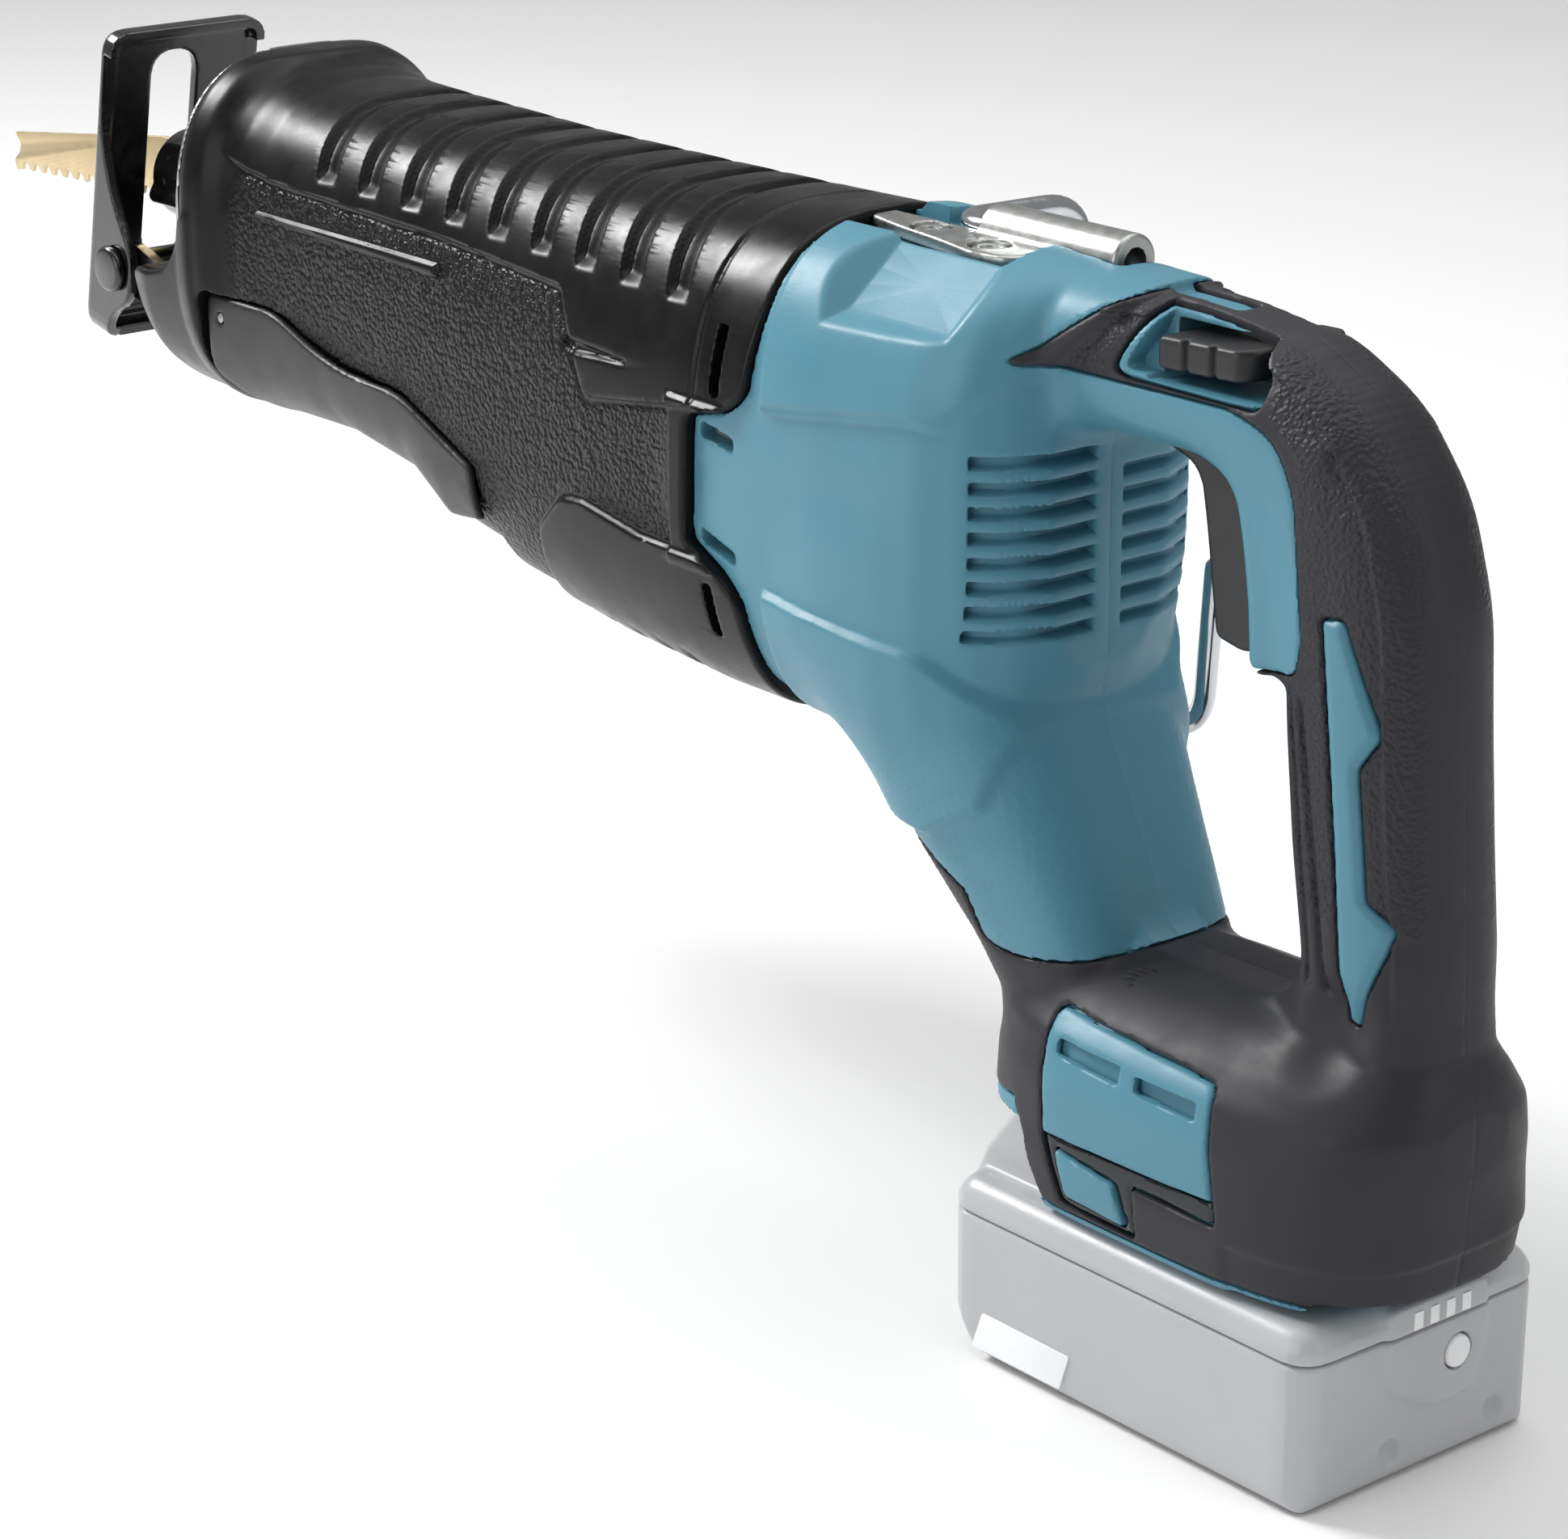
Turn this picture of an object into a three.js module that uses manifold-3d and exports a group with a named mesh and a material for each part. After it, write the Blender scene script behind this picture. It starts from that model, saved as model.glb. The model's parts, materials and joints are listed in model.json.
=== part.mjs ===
// Cordless reciprocating saw with a D-handle and a slide-on battery.
// Millimetres. +Z is up, the blade points to -X, the tool's left side faces -Y.
// The origin is the middle of the battery's underside.
import * as THREE from 'three';
import Module from 'manifold-3d';
import { mergeVertices } from 'three/addons/utils/BufferGeometryUtils.js';

const wasm = await Module();
wasm.setup();

// ---------------------------------------------------------------- driving dimensions
const GAP = 0.3; // clearance between touching pieces
const WALL = 2.6; // plastic shell thickness
const RUBBER = 2.2; // overmould thickness
const AXIS_Z = 211; // height of the blade and plunger axis
const STROKE = 32;
const CRANK_RADIUS = STROKE / 2;
const MOTOR_LEAN = Math.PI / 6; // motor axis against the vertical
const CRANK_X = -114.4; // crank centre, on the motor axis
const BATTERY_LENGTH = 113;
const BATTERY_WIDTH = 75;
const BATTERY_SPLIT = 35; // height of the battery's case joint
const BATTERY_TOP = 61.5;
const SHOE_PIVOT = { x: -419, z: 187 };
const SHOE_TILT = THREE.MathUtils.degToRad(11.2);
const LEVER_PIVOT = { x: -345, z: 188 };
const LEVER_TURN = THREE.MathUtils.degToRad(12);
const TRIGGER_PIVOT = { x: -20, z: 217.5 };
const HOOK_AXIS = { y: 5.5, z: 247.4 };
const BAR_HALF_WIDTH = 17.5; // handle
const BIG = 600;

// ---------------------------------------------------------------- materials
function look(color, roughness, metalness = 0) {
  return new THREE.MeshStandardMaterial({ color, roughness, metalness });
}
const teal = look(0x5c94a8, 0.45);
const rubber = look(0x3a393e, 0.75);
const bootRubber = look(0x333238, 0.6);
const darkPlastic = look(0x28282c, 0.4);
const glossPlastic = look(0x101418, 0.2);
const palePlastic = look(0xc4c4c5, 0.4);
const aluminium = look(0xaaaca8, 0.4, 1);
const steel = look(0x9a9c9e, 0.35, 1);
const blackSteel = look(0x0c0c0e, 0.3, 0.6);
const chrome = look(0xc8cacc, 0.15, 1);
const bladeSteel = look(0xc8b692, 0.45, 0.4);
const copper = look(0xb06a3a, 0.4, 1);
const board = look(0x1f5a3a, 0.6);

// ---------------------------------------------------------------- shape helpers
// A closed three.js geometry as a solid that can be joined and cut.
function solid(geometry) {
  const bare = new THREE.BufferGeometry();
  bare.setAttribute('position', geometry.getAttribute('position'));
  if (geometry.index) bare.setIndex(geometry.index);
  const merged = mergeVertices(bare, 1e-4);
  const vertProperties = merged.attributes.position.array;
  const triVerts = new Uint32Array(merged.index.array);
  return new wasm.Manifold(new wasm.Mesh({ numProp: 3, vertProperties, triVerts }));
}

function union(...shapes) {
  return shapes.reduce((joined, shape) => joined.add(shape));
}

function cut(shape, ...tools) {
  return tools.reduce((left, tool) => left.subtract(tool), shape);
}

// A box from its lowest to its highest corner.
function box(x0, x1, y0, y1, z0, z1) {
  const geometry = new THREE.BoxGeometry(x1 - x0, y1 - y0, z1 - z0);
  return solid(geometry.translate((x0 + x1) / 2, (y0 + y1) / 2, (z0 + z1) / 2));
}

function rod(axis, radius, from, to, a = 0, b = 0, sides = 20) {
  const geometry = new THREE.CylinderGeometry(radius, radius, to - from, sides);
  geometry.translate(0, (from + to) / 2, 0);
  if (axis === 'x') geometry.rotateZ(-Math.PI / 2).translate(0, a, b);
  if (axis === 'y') geometry.translate(a, 0, b);
  if (axis === 'z') geometry.rotateX(Math.PI / 2).translate(a, b, 0);
  return solid(geometry);
}

// A turned solid: profile points are [radius, station], and the axis becomes X or Z.
function turned(profile, axis = 'z', sides = 24) {
  const points = profile.map(([radius, station]) => new THREE.Vector2(radius, station));
  const geometry = new THREE.LatheGeometry(points, sides);
  if (axis === 'x') geometry.rotateZ(-Math.PI / 2);
  if (axis === 'z') geometry.rotateX(Math.PI / 2);
  return solid(geometry);
}

// An outline of [a, b] or [a, b, corner radius] points.
function outline(points) {
  const shape = new THREE.Shape();
  const count = points.length;
  points.forEach(([a, b, radius = 0], i) => {
    const here = new THREE.Vector2(a, b);
    const before = new THREE.Vector2(...points[(i + count - 1) % count].slice(0, 2));
    const after = new THREE.Vector2(...points[(i + 1) % count].slice(0, 2));
    const start = here.clone().add(before.sub(here).setLength(radius || 1e-9));
    const end = here.clone().add(after.sub(here).setLength(radius || 1e-9));
    if (i === 0) shape.moveTo(radius ? start.x : a, radius ? start.y : b);
    else shape.lineTo(radius ? start.x : a, radius ? start.y : b);
    if (radius) shape.quadraticCurveTo(a, b, end.x, end.y);
  });
  return shape;
}

// An outline in the side view (x, z), as thick as y0 to y1.
function sidePlate(points, y0, y1, curveSegments = 4) {
  const shape = points.isShape ? points : outline(points);
  const geometry = new THREE.ExtrudeGeometry(shape, {
    depth: y1 - y0, bevelEnabled: false, curveSegments,
  });
  return solid(geometry.rotateX(Math.PI / 2).translate(0, y1, 0));
}

// An outline in the top view (x, y), from z0 up to z1.
function topPlate(points, z0, z1, curveSegments = 4) {
  const geometry = new THREE.ExtrudeGeometry(outline(points), {
    depth: z1 - z0, bevelEnabled: false, curveSegments,
  });
  return solid(geometry.translate(0, 0, z0));
}

// An outline in the end view (y, z), from x0 to x1.
function endPlate(points, x0, x1, curveSegments = 4) {
  const geometry = new THREE.ExtrudeGeometry(outline(points), {
    depth: x1 - x0, bevelEnabled: false, curveSegments,
  });
  geometry.rotateX(Math.PI / 2).rotateZ(Math.PI / 2);
  return solid(geometry.translate(x0, 0, 0));
}

function towards(value, power) {
  return Math.abs(value) < 1e-6 ? 0 : Math.sign(value) * Math.abs(value) ** power;
}

// A barrel through rounded sections. Each station is a section centre (x, z), the way the
// barrel runs there (degrees from +X towards +Z), its half width along Y and its half height.
function barrel(stations, squareness, sides = 16) {
  const steps = stations.length - 1;
  const geometry = new THREE.CylinderGeometry(1, 1, 1, sides, steps);
  const position = geometry.getAttribute('position');
  for (let i = 0; i < position.count; i++) {
    const [x, z, way, wide, tall] = stations[Math.round((0.5 - position.getY(i)) * steps)];
    const turn = THREE.MathUtils.degToRad(way);
    const across = towards(position.getX(i), 2 / squareness) * wide;
    const up = towards(position.getZ(i), 2 / squareness) * tall;
    position.setXYZ(i, x - Math.sin(turn) * up, across, z + Math.cos(turn) * up);
  }
  return solid(geometry);
}

// Stations of a level barrel, from rows of [x, underside, top, half width].
function level(rows) {
  return rows.map(([x, low, high, wide]) => [x, (low + high) / 2, 0, wide, (high - low) / 2]);
}

// Stations of an upright barrel, from rows of [z, middle x, half length, half width].
function upright(rows) {
  return rows.map(([z, x, long, wide]) => [x, z, 90, wide, long]);
}

function grown(stations, by) {
  return stations.map(([x, z, way, wide, tall]) => [x, z, way, wide + by, tall + by]);
}

// A solid's surface as a three.js geometry.
function surface(shape) {
  const mesh = shape.getMesh();
  const geometry = new THREE.BufferGeometry();
  geometry.setAttribute('position', new THREE.BufferAttribute(mesh.vertProperties, 3));
  geometry.setIndex(new THREE.BufferAttribute(mesh.triVerts, 1));
  return geometry;
}

// An outline moved outwards by a distance, each corner along its mitre.
function widened(points, by) {
  const count = points.length;
  const corner = (i) => new THREE.Vector2(...points[(i + count) % count].slice(0, 2));
  const area = points.reduce((sum, _, i) => sum + corner(i).cross(corner(i + 1)), 0);
  const outwards = (from, to) => {
    const edge = to.clone().sub(from).normalize();
    return new THREE.Vector2(edge.y, -edge.x).multiplyScalar(Math.sign(area));
  };
  return points.map(([a, b, radius = 0], i) => {
    const before = outwards(corner(i - 1), corner(i));
    const after = outwards(corner(i), corner(i + 1));
    const mitre = before.clone().add(after).divideScalar(1 + before.dot(after));
    return [a + mitre.x * by, b + mitre.y * by, radius];
  });
}

const leftHalf = box(-BIG, BIG, -BIG, -GAP / 2, -BIG, BIG);
const rightHalf = box(-BIG, BIG, GAP / 2, BIG, -BIG, BIG);

// ---------------------------------------------------------------- the scene graph
const saw = new THREE.Group();

function piece(parent, name, shape, material) {
  const part = new THREE.Mesh(surface(shape), material);
  part.name = name;
  parent.add(part);
  return part;
}

function groupAt(x, y, z, parent = saw) {
  const group = new THREE.Group();
  group.position.set(x, y, z);
  parent.add(group);
  return group;
}

// ---------------------------------------------------------------- outer forms
const BODY_SQUARE = 3;
const bodyForm = level([
  [-146, 132, 246.5, 38.5],
  [-122, 133, 247, 40],
  [-100, 132, 247, 40.5],
  [-80, 128, 246.5, 40],
  [-68, 134, 245.5, 38.5],
  [-57, 142, 244, 34],
  [-50, 150, 242.5, 26],
  [-45.5, 158, 241, 14],
]);

const NECK_WAY = -60;
const neckForm = [
  [-86, 161.2, NECK_WAY, 38, 29],
  [-67.4, 130.4, NECK_WAY, 32.6, 25.8],
  [-49, 104.4, NECK_WAY, 28, 21],
  [-32.5, 77, NECK_WAY, 25, 17.5],
];

const HANDLE_SQUARE = 2.6;
const handleForm = [
  [-72, 229, 0, 19, 15.5],
  [-40, 229, 0, 18, 15.5],
  [-10, 229, -2, BAR_HALF_WIDTH, 15.5],
  [8, 226.5, -18, BAR_HALF_WIDTH, 16],
  [22, 218, -42, BAR_HALF_WIDTH, 17.5],
  [31, 205, -63, BAR_HALF_WIDTH, 19],
  [35.5, 188, -80, BAR_HALF_WIDTH, 20],
  [37, 165, -86, BAR_HALF_WIDTH, 20],
  [39.5, 140, -85, BAR_HALF_WIDTH, 19.5],
  [42, 116, -85, 18, 19],
  [43, 98, -88, 19, 20],
  [43, 80, -90, 20, 20.5],
];

const FOOT_SQUARE = 3.4;
const RIM_Z = 43.3;
const footForm = upright([
  [45.6, 3, 61, 36.2],
  [58, 3.5, 61.5, 36.8],
  [75, 3.5, 61, 36.4],
  [86, 4.5, 58.5, 34],
  [94, 6, 53, 29],
  [99.5, 8, 45, 21],
  [102.5, 9, 37, 12],
]);

const BOOT_SQUARE = 2.8;
const FLANGE_X = -358.5; // the front of the boot's flange, above its lip
const bootForm = level([
  [FLANGE_X, 159.5, 255, 41],
  [-354.5, 159, 256.3, 42],
  [-347, 159.8, 255.5, 41.5],
  [-338, 161.5, 250.5, 37.6],
  [-328, 163, 248.5, 36],
  [-300, 163, 247, 36],
  [-268, 156, 246.5, 36.5],
  [-251, 143, 246.5, 37],
  [-232, 138, 246.5, 38],
  [-190, 133, 246.5, 39.5],
  [-150, 130.5, 247, 41],
  [-122, 130.5, 247.6, 41.5],
]);

const GEARCASE_SQUARE = 3;
const gearcaseForm = level([
  [FLANGE_X + 6, 172, 246, 34],
  [-300, 168, 243, 32],
  [-266, 161, 242.5, 32.5],
  [-250, 149, 242.5, 33],
  [-190, 142, 243, 35],
  [-146, 140, 243.6, 35.5],
  [-118, 160, 243.8, 31.5],
  [-82, 172, 242, 29.5],
]);

// A flat facet is cut off each upper shoulder of the body, beside the hook's plate.
function shoulders(inwards) {
  const facets = [-1, 1].map((side) => endPlate(
    [[15, 247.2], [38.5, 227.2], [70, 227.2], [70, 280], [15, 280]]
      .map(([y, z]) => [side * (y - inwards), z - inwards]),
    -102 - inwards, -62 + inwards,
  ));
  return union(...facets);
}
const bodyOuter = cut(barrel(bodyForm, BODY_SQUARE), shoulders(0));
const neckOuter = barrel(neckForm, BODY_SQUARE);
const handleOuter = barrel(handleForm, HANDLE_SQUARE);
const handleCore = barrel(grown(handleForm, -RUBBER - GAP), HANDLE_SQUARE);
const footOuter = barrel(footForm, FOOT_SQUARE);
const footCore = barrel(grown(footForm, -RUBBER - GAP), FOOT_SQUARE);
const gearcaseOuter = barrel(gearcaseForm, GEARCASE_SQUARE);
const gearcaseRoom = barrel(grown(gearcaseForm, GAP), GEARCASE_SQUARE);

// Where the boot lies over the front of the body: full height ahead, two flaps behind.
const BOOT_REAR = -144.5;
const FLAP_REAR = -122.3;
const UPPER_FLAP_Z = 206;
const LOWER_FLAP_Z = 168;
function bootReach(by) {
  return union(
    box(-BIG, BOOT_REAR + by, -BIG, BIG, -BIG, BIG),
    box(-BIG, FLAP_REAR + by, -BIG, BIG, UPPER_FLAP_Z - by, BIG),
    box(-BIG, FLAP_REAR - 5 + by, -BIG, BIG, -BIG, LOWER_FLAP_Z + by),
  );
}

// ---------------------------------------------------------------- openings in the shells
const TRIGGER_HALF = 9;
const triggerRoom = box(-32, 17, -TRIGGER_HALF - 0.7, TRIGGER_HALF + 0.7, 171, 223);
const switchRoom = box(16.5, 34, -9, 9, 181, 215);
const lockRoom = box(-20, 15.5, -BIG, BIG, 228.3, 243.2);
const lockWindow = sidePlate(
  [[-25, 229.5, 2], [10, 229, 2], [17, 236, 2], [15, 244.5, 2], [-14, 245, 2], [-25, 237, 2]],
  -BIG, BIG,
);
const RAIL_HALF = 27.8;
const RAIL_Z = 49;
const TERMINALS_Y = [-12, 0, 12];
const batteryRails = [-1, 1].map((side) => {
  const y = side * (RAIL_HALF - 0.2);
  return box(-26, 38, y - 3, y + 3, RAIL_Z, RAIL_Z + 3.5);
});
const batteryRoom = cut(union(
  box(-BIG, 39.3, -RAIL_HALF - 0.6, RAIL_HALF + 0.6, -BIG, 63.4),
  box(-BIG, 63, -30, 30, -BIG, 47.2),
), ...batteryRails);

// Screws draw the right half of the housing onto the left, each through a boss.
const SCREWS = [[-63, 227, 20], [38.5, 150, 9], [49, 80, 22]]; // x, z and where the head sits
const BOSS_RADIUS = 4.6;
const bosses = SCREWS.map(([x, z]) => rod('y', BOSS_RADIUS, -16, 26, x, z, 12));
const screwRooms = SCREWS.map(([x, z, seat]) => union(
  rod('y', 3.8, seat, BIG, x, z, 12), rod('y', 1.8, -13, seat + 1, x, z, 8),
));
const boardRoom = box(-37, 27, -22, 22, 65.8, 84);
const tubeRoom = box(-91, -43, -3, 13.4, 240.7, BIG);
const wireTrench = union(box(-109, -90.5, -1, 17, 244.3, BIG), box(-109, -99.5, 5, 60, 244.3, BIG));
const plateRoom = box(-126.5, -64, -15.5, 8, 243.9, BIG);

// Slots for the warm air on both rear corners of the body, and two openings behind the boot.
const VENT_PITCH = 5.6;
function ventSlots() {
  const slots = [];
  for (let i = 0; i < 8; i++) {
    const z = 166.5 + i * VENT_PITCH;
    slots.push(box(-70, -30, -32, -7, z, z + 2.6));
    if (i < 7) slots.push(box(-70, -30, 5, 30, z, z + 2.6));
  }
  return slots;
}

const sideOpenings = [198, 172].map((z) => box(-140.5, -129, -BIG, BIG, z, z + 3));

// ---------------------------------------------------------------- housing halves
const FOOT_FRONT_RIM = sidePlate([[-BIG, 0], [-27, 0], [-27, RIM_Z], [-35, 62], [-BIG, 62]], -BIG, BIG);
const rim = barrel(upright([[RIM_Z, 3, 60.6, 35.8], [45.3, 3, 61, 36.2]]), FOOT_SQUARE);
const rimRoom = box(-BIG, BIG, -BIG, BIG, 0, 45.3 + GAP - 0.05);
const guardOutline = [
  [-34, 219.5], [-22, 219.3], [-8, 219, 4], [0.5, 215.2, 3], [4.9, 209.5, 3], [7.4, 199, 3], [9.3, 187, 3],
  [10.2, 174.2, 1.5], [13, 173], [26, 175.5], [31, 200], [30, 224], [-10, 226], [-34, 224],
];
const GUARD_HALF = 15.2;
const triggerGuard = sidePlate(guardOutline, -GUARD_HALF, GUARD_HALF);
const guardRoom = sidePlate(widened(guardOutline, GAP), -GUARD_HALF - GAP, GUARD_HALF + GAP);

const HOLLOW_SIDES = 12;
const bodyHollow = level([
  [-160, 133, 247, 39.5], [-100, 132, 247, 40.5], [-80, 130, 246.5, 40], [-66, 138, 245, 37],
  [-49, 155, 241.5, 18],
]);

function housingShell() {
  const skin = union(bodyOuter, neckOuter, handleCore, footCore, rim, triggerGuard);
  const hollows = union(
    cut(barrel(grown(bodyHollow, -WALL), BODY_SQUARE, HOLLOW_SIDES), shoulders(WALL)),
    barrel(grown(neckForm, -WALL), BODY_SQUARE, HOLLOW_SIDES),
    barrel(grown(handleForm.slice(1, -1), -RUBBER - GAP - 2.4), HANDLE_SQUARE, 8),
    boardRoom,
  );
  const shell = union(cut(skin, hollows), ...bosses.map((boss) => boss.intersect(skin)));
  const mouths = union(gearcaseRoom, batteryRoom, triggerRoom, switchRoom, lockRoom, tubeRoom,
    plateRoom, wireTrench);
  return cut(
    shell, mouths, FOOT_FRONT_RIM, bootReach(GAP), ...ventSlots(), ...sideOpenings, ...screwRooms,
  );
}

function largest(shape) {
  return shape.decompose().reduce((best, body) => (body.volume() > best.volume() ? body : best));
}

const housing = housingShell();
piece(saw, 'left_housing', largest(housing.intersect(leftHalf)), teal);
piece(saw, 'right_housing', largest(housing.intersect(rightHalf)), teal);

// ---------------------------------------------------------------- rubber overmould
const stripRegion = sidePlate(
  [[-92, 116], [-79, 118], [-64, 112], [-45, 92], [-34, 86], [-34, 40], [-70, 60]],
  -BIG, BIG,
);
const exposedTeal = union(
  sidePlate([[-BIG, 0], [-54, 0], [-54, 212], [-54, 229], [-43, 241], [-27, 250], [-27, 300], [-BIG, 300]],
    -BIG, BIG).intersect(box(-BIG, BIG, -BIG, BIG, 205, BIG)),
  sidePlate([[-60, 180], [-60, 227], [0, 226, 4], [15, 224, 4], [22.5, 214, 4], [25, 200], [25, 178, 2],
    [13, 171], [-10, 171]], -BIG, BIG),
);
const inlayOutline = [
  [33.5, 189, 1.5], [38.5, 190, 1.5], [49, 168, 2], [44.5, 161, 2], [48, 133, 2], [55, 128.5, 2],
  [47, 107, 1], [45, 107, 1],
];
// A thin skin between two depths under (-) or over (+) a rounded form.
function band(form, squareness, over, under) {
  return cut(barrel(grown(form, over), squareness), barrel(grown(form, under), squareness));
}

const inlay = sidePlate(inlayOutline, -BIG, BIG).intersect(band(handleForm, HANDLE_SQUARE, 0.35, -1.2));
const inlayRoom = sidePlate(widened(inlayOutline, GAP), -BIG, BIG)
  .intersect(band(handleForm, HANDLE_SQUARE, 1, -1.5));
const platesOutline = [
  [-29.5, 89, 2], [21.5, 87, 2], [26.3, 63.6], [27.2, 58.4, 1], [2.4, 58.2], [3, 48, 1], [-20, 48],
  [-26.6, 62],
];
const stripOutline = [[-26.6, 62], [26.3, 63.6], [27.2, 58.4, 1], [2.4, 58.2], [3, 48, 1], [-20, 48]];
const badgeOutline = [[-21.5, 59.2, 1], [-2.5, 57.6, 1], [0.4, 50, 1], [-18.2, 50, 1]];
const plates = sidePlate(platesOutline, -BIG, BIG).intersect(band(footForm, FOOT_SQUARE, 0.3, -1.5));
const platesRoom = sidePlate(widened(platesOutline, GAP), -BIG, BIG)
  .intersect(band(footForm, FOOT_SQUARE, 2, -1.8));
const stripZone = sidePlate(stripOutline, -BIG, BIG);
const stripRoomZone = sidePlate(widened(stripOutline, GAP), -BIG, BIG);
const badge = sidePlate(badgeOutline, -BIG, BIG).intersect(band(footForm, FOOT_SQUARE, 0.6, -1.5));
const badgeRoomZone = sidePlate(widened(badgeOutline, GAP), -BIG, BIG);

function overmould() {
  const strip = barrel(grown(neckForm, 2), BODY_SQUARE).intersect(stripRegion);
  const outer = union(handleOuter, footOuter, strip);
  const core = union(
    barrel(grown(neckForm, GAP), BODY_SQUARE),
    barrel(grown(handleForm, -RUBBER), HANDLE_SQUARE),
    cut(barrel(grown(footForm, -RUBBER), FOOT_SQUARE), box(-BIG, BIG, -BIG, BIG, -BIG, 45.55)),
    box(-55, 50, -33, 33, 44, 50),
  );
  return cut(
    outer, core, exposedTeal, lockWindow, lockRoom, inlayRoom, platesRoom, batteryRoom, FOOT_FRONT_RIM,
    box(-BIG, -36, -BIG, BIG, 205, BIG), barrel(grown(bodyForm, GAP), BODY_SQUARE),
    guardRoom, rimRoom,
  );
}

const skin = overmould();
const leftSkin = largest(skin.intersect(leftHalf));
piece(saw, 'left_overmould', leftSkin, rubber);
piece(saw, 'right_overmould', largest(cut(skin.intersect(rightHalf), ...screwRooms)), rubber);
SCREWS.forEach(([x, z, seat], i) => {
  const head = cut(rod('y', 3.4, seat + GAP, seat + 3, x, z, 16), rod('y', 1.7, seat + 1.4, seat + 4,
    x, z, 6));
  piece(saw, 'housing_screw_' + (i + 1), union(head, rod('y', 1.5, -12, seat + 1, x, z, 8)), steel);
});

// Teal inlays on the handle.
piece(saw, 'left_handle_inlay', largest(inlay.intersect(leftHalf)), teal);
piece(saw, 'right_handle_inlay', largest(inlay.intersect(rightHalf)), teal);

// Side panels on the foot, each with two air slots, a dark strip and a small badge plate.
const panelSlots = [box(-28, -8, -BIG, BIG, 78.5, 82.2), box(-5, 15, -BIG, BIG, 78.2, 81.6)];
function footPlates(side, half) {
  const mine = plates.intersect(half);
  piece(saw, side + '_foot_panel', largest(cut(mine, stripRoomZone, ...panelSlots)), teal);
  piece(saw, side + '_foot_strip', largest(cut(mine.intersect(stripZone), badgeRoomZone)), glossPlastic);
  piece(saw, side + '_foot_badge', largest(badge.intersect(half)), teal);
}

footPlates('left', leftHalf);
footPlates('right', rightHalf);

// ---------------------------------------------------------------- gear case and boot
const CRANK_ROOM = 29.2;
const COVER_Y = -19;
const motorBore = solid(
  new THREE.CylinderGeometry(11.6, 11.6, 34, 20)
    .rotateX(Math.PI / 2)
    .translate(0, 0, -41)
    .rotateY(-MOTOR_LEAN)
    .translate(CRANK_X, 0, AXIS_Z),
);
const fanRoom = solid(
  new THREE.CylinderGeometry(22.6, 22.6, 30, 20)
    .rotateX(Math.PI / 2)
    .translate(0, 0, -62)
    .rotateY(-MOTOR_LEAN)
    .translate(CRANK_X, 0, AXIS_Z),
);
const chamber = union(
  rod('y', CRANK_ROOM, -20, 12.5, CRANK_X, AXIS_Z, 28),
  motorBore,
  box(CRANK_X - 42, CRANK_X + 31, -7, 12.6, AXIS_Z - 27, AXIS_Z + 27),
);
const plungerBore = rod('x', 13.4, -400, CRANK_X - 30, 0, AXIS_Z, 20);
const armRoom = box(-400, -284, -22.3, 22.3, 173.6, 196.5);
const BEARING_Y = -28.6;
const crankBearingRoom = rod('y', 11.4, BEARING_Y - 0.3, -18, CRANK_X, AXIS_Z);
const coverRoom = box(-148, -70, -BIG, COVER_Y + GAP / 2, -BIG, BIG);
const coverSpace = box(-148 + GAP, -70, -BIG, COVER_Y - GAP / 2, -BIG, BIG);
piece(
  saw, 'gear_case',
  largest(cut(gearcaseOuter, chamber, plungerBore, armRoom, coverRoom, fanRoom, tubeRoom)), aluminium,
);
piece(
  saw, 'gear_case_cover',
  largest(cut(gearcaseOuter.intersect(coverSpace), chamber, crankBearingRoom, fanRoom)), aluminium,
);

// The guard's lower lip reaches ahead of the flange on both sides of the shoe arm.
function frontLip() {
  const form = level([[-389, 161, 250, 38], [-380, 160, 252, 40], [-354, 159, 254, 41.5]]);
  const profile = sidePlate(
    [[-364, 150], [-373, 160, 5], [-384, 174, 8], [-389.5, 192, 2], [-386, 195, 2], [-374, 196, 4],
    [-364.5, 200, 4], [FLANGE_X - 1, 210],
      [FLANGE_X + 3, 210], [FLANGE_X + 3, 150]],
    -BIG, BIG,
  );
  return barrel(form, BOOT_SQUARE).intersect(profile);
}

const frontPlateOutline = [[-36, 199, 3], [-33, 236, 8], [-18, 248, 6], [18, 248, 6], [33, 236, 8],
  [36, 199, 3]];
const guardMouth = union(
  box(-BIG, FLANGE_X + 7, -25.5, 25.5, 166, 240),
  endPlate(widened(frontPlateOutline, GAP), -BIG, FLANGE_X + 7),
);
const leverForm = level([
  [-366, 155.5, 210, 38.6], [-343, 159.6, 212, 37.9], [-328, 160.6, 214, 37.2],
  [-300, 160.6, 216, 36.9], [-268, 155, 216, 37], [-251, 143, 216, 37.4], [-232, 139.2, 216, 38],
]);
const leverOutline = [
  [-351.5, 193.8, 3], [-322, 193.4, 4], [-304, 186.6, 3], [-291, 183.6, 4], [-266, 182.4, 4], [-235, 170],
  [-235, 156], [-275, 150], [-330, 158.5], [-344, 168.4], [-350.6, 172.6, 3],
];
// The space that the lever sweeps as its rear end drops.
function leverSweep() {
  const pivot = new THREE.Vector2(LEVER_PIVOT.x, LEVER_PIVOT.z);
  const turns = [0, 0.5, 1].map((part) => -part * LEVER_TURN);
  return union(...turns.map((turn) => {
    const turned = widened(leverOutline, 2 * GAP).map(([x, z, radius]) => {
      const moved = new THREE.Vector2(x, z).rotateAround(pivot, turn);
      return [moved.x, moved.y, radius];
    });
    return sidePlate(turned, -BIG, BIG);
  }), box(-345, -231, -BIG, BIG, 100, 160));
}

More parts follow.
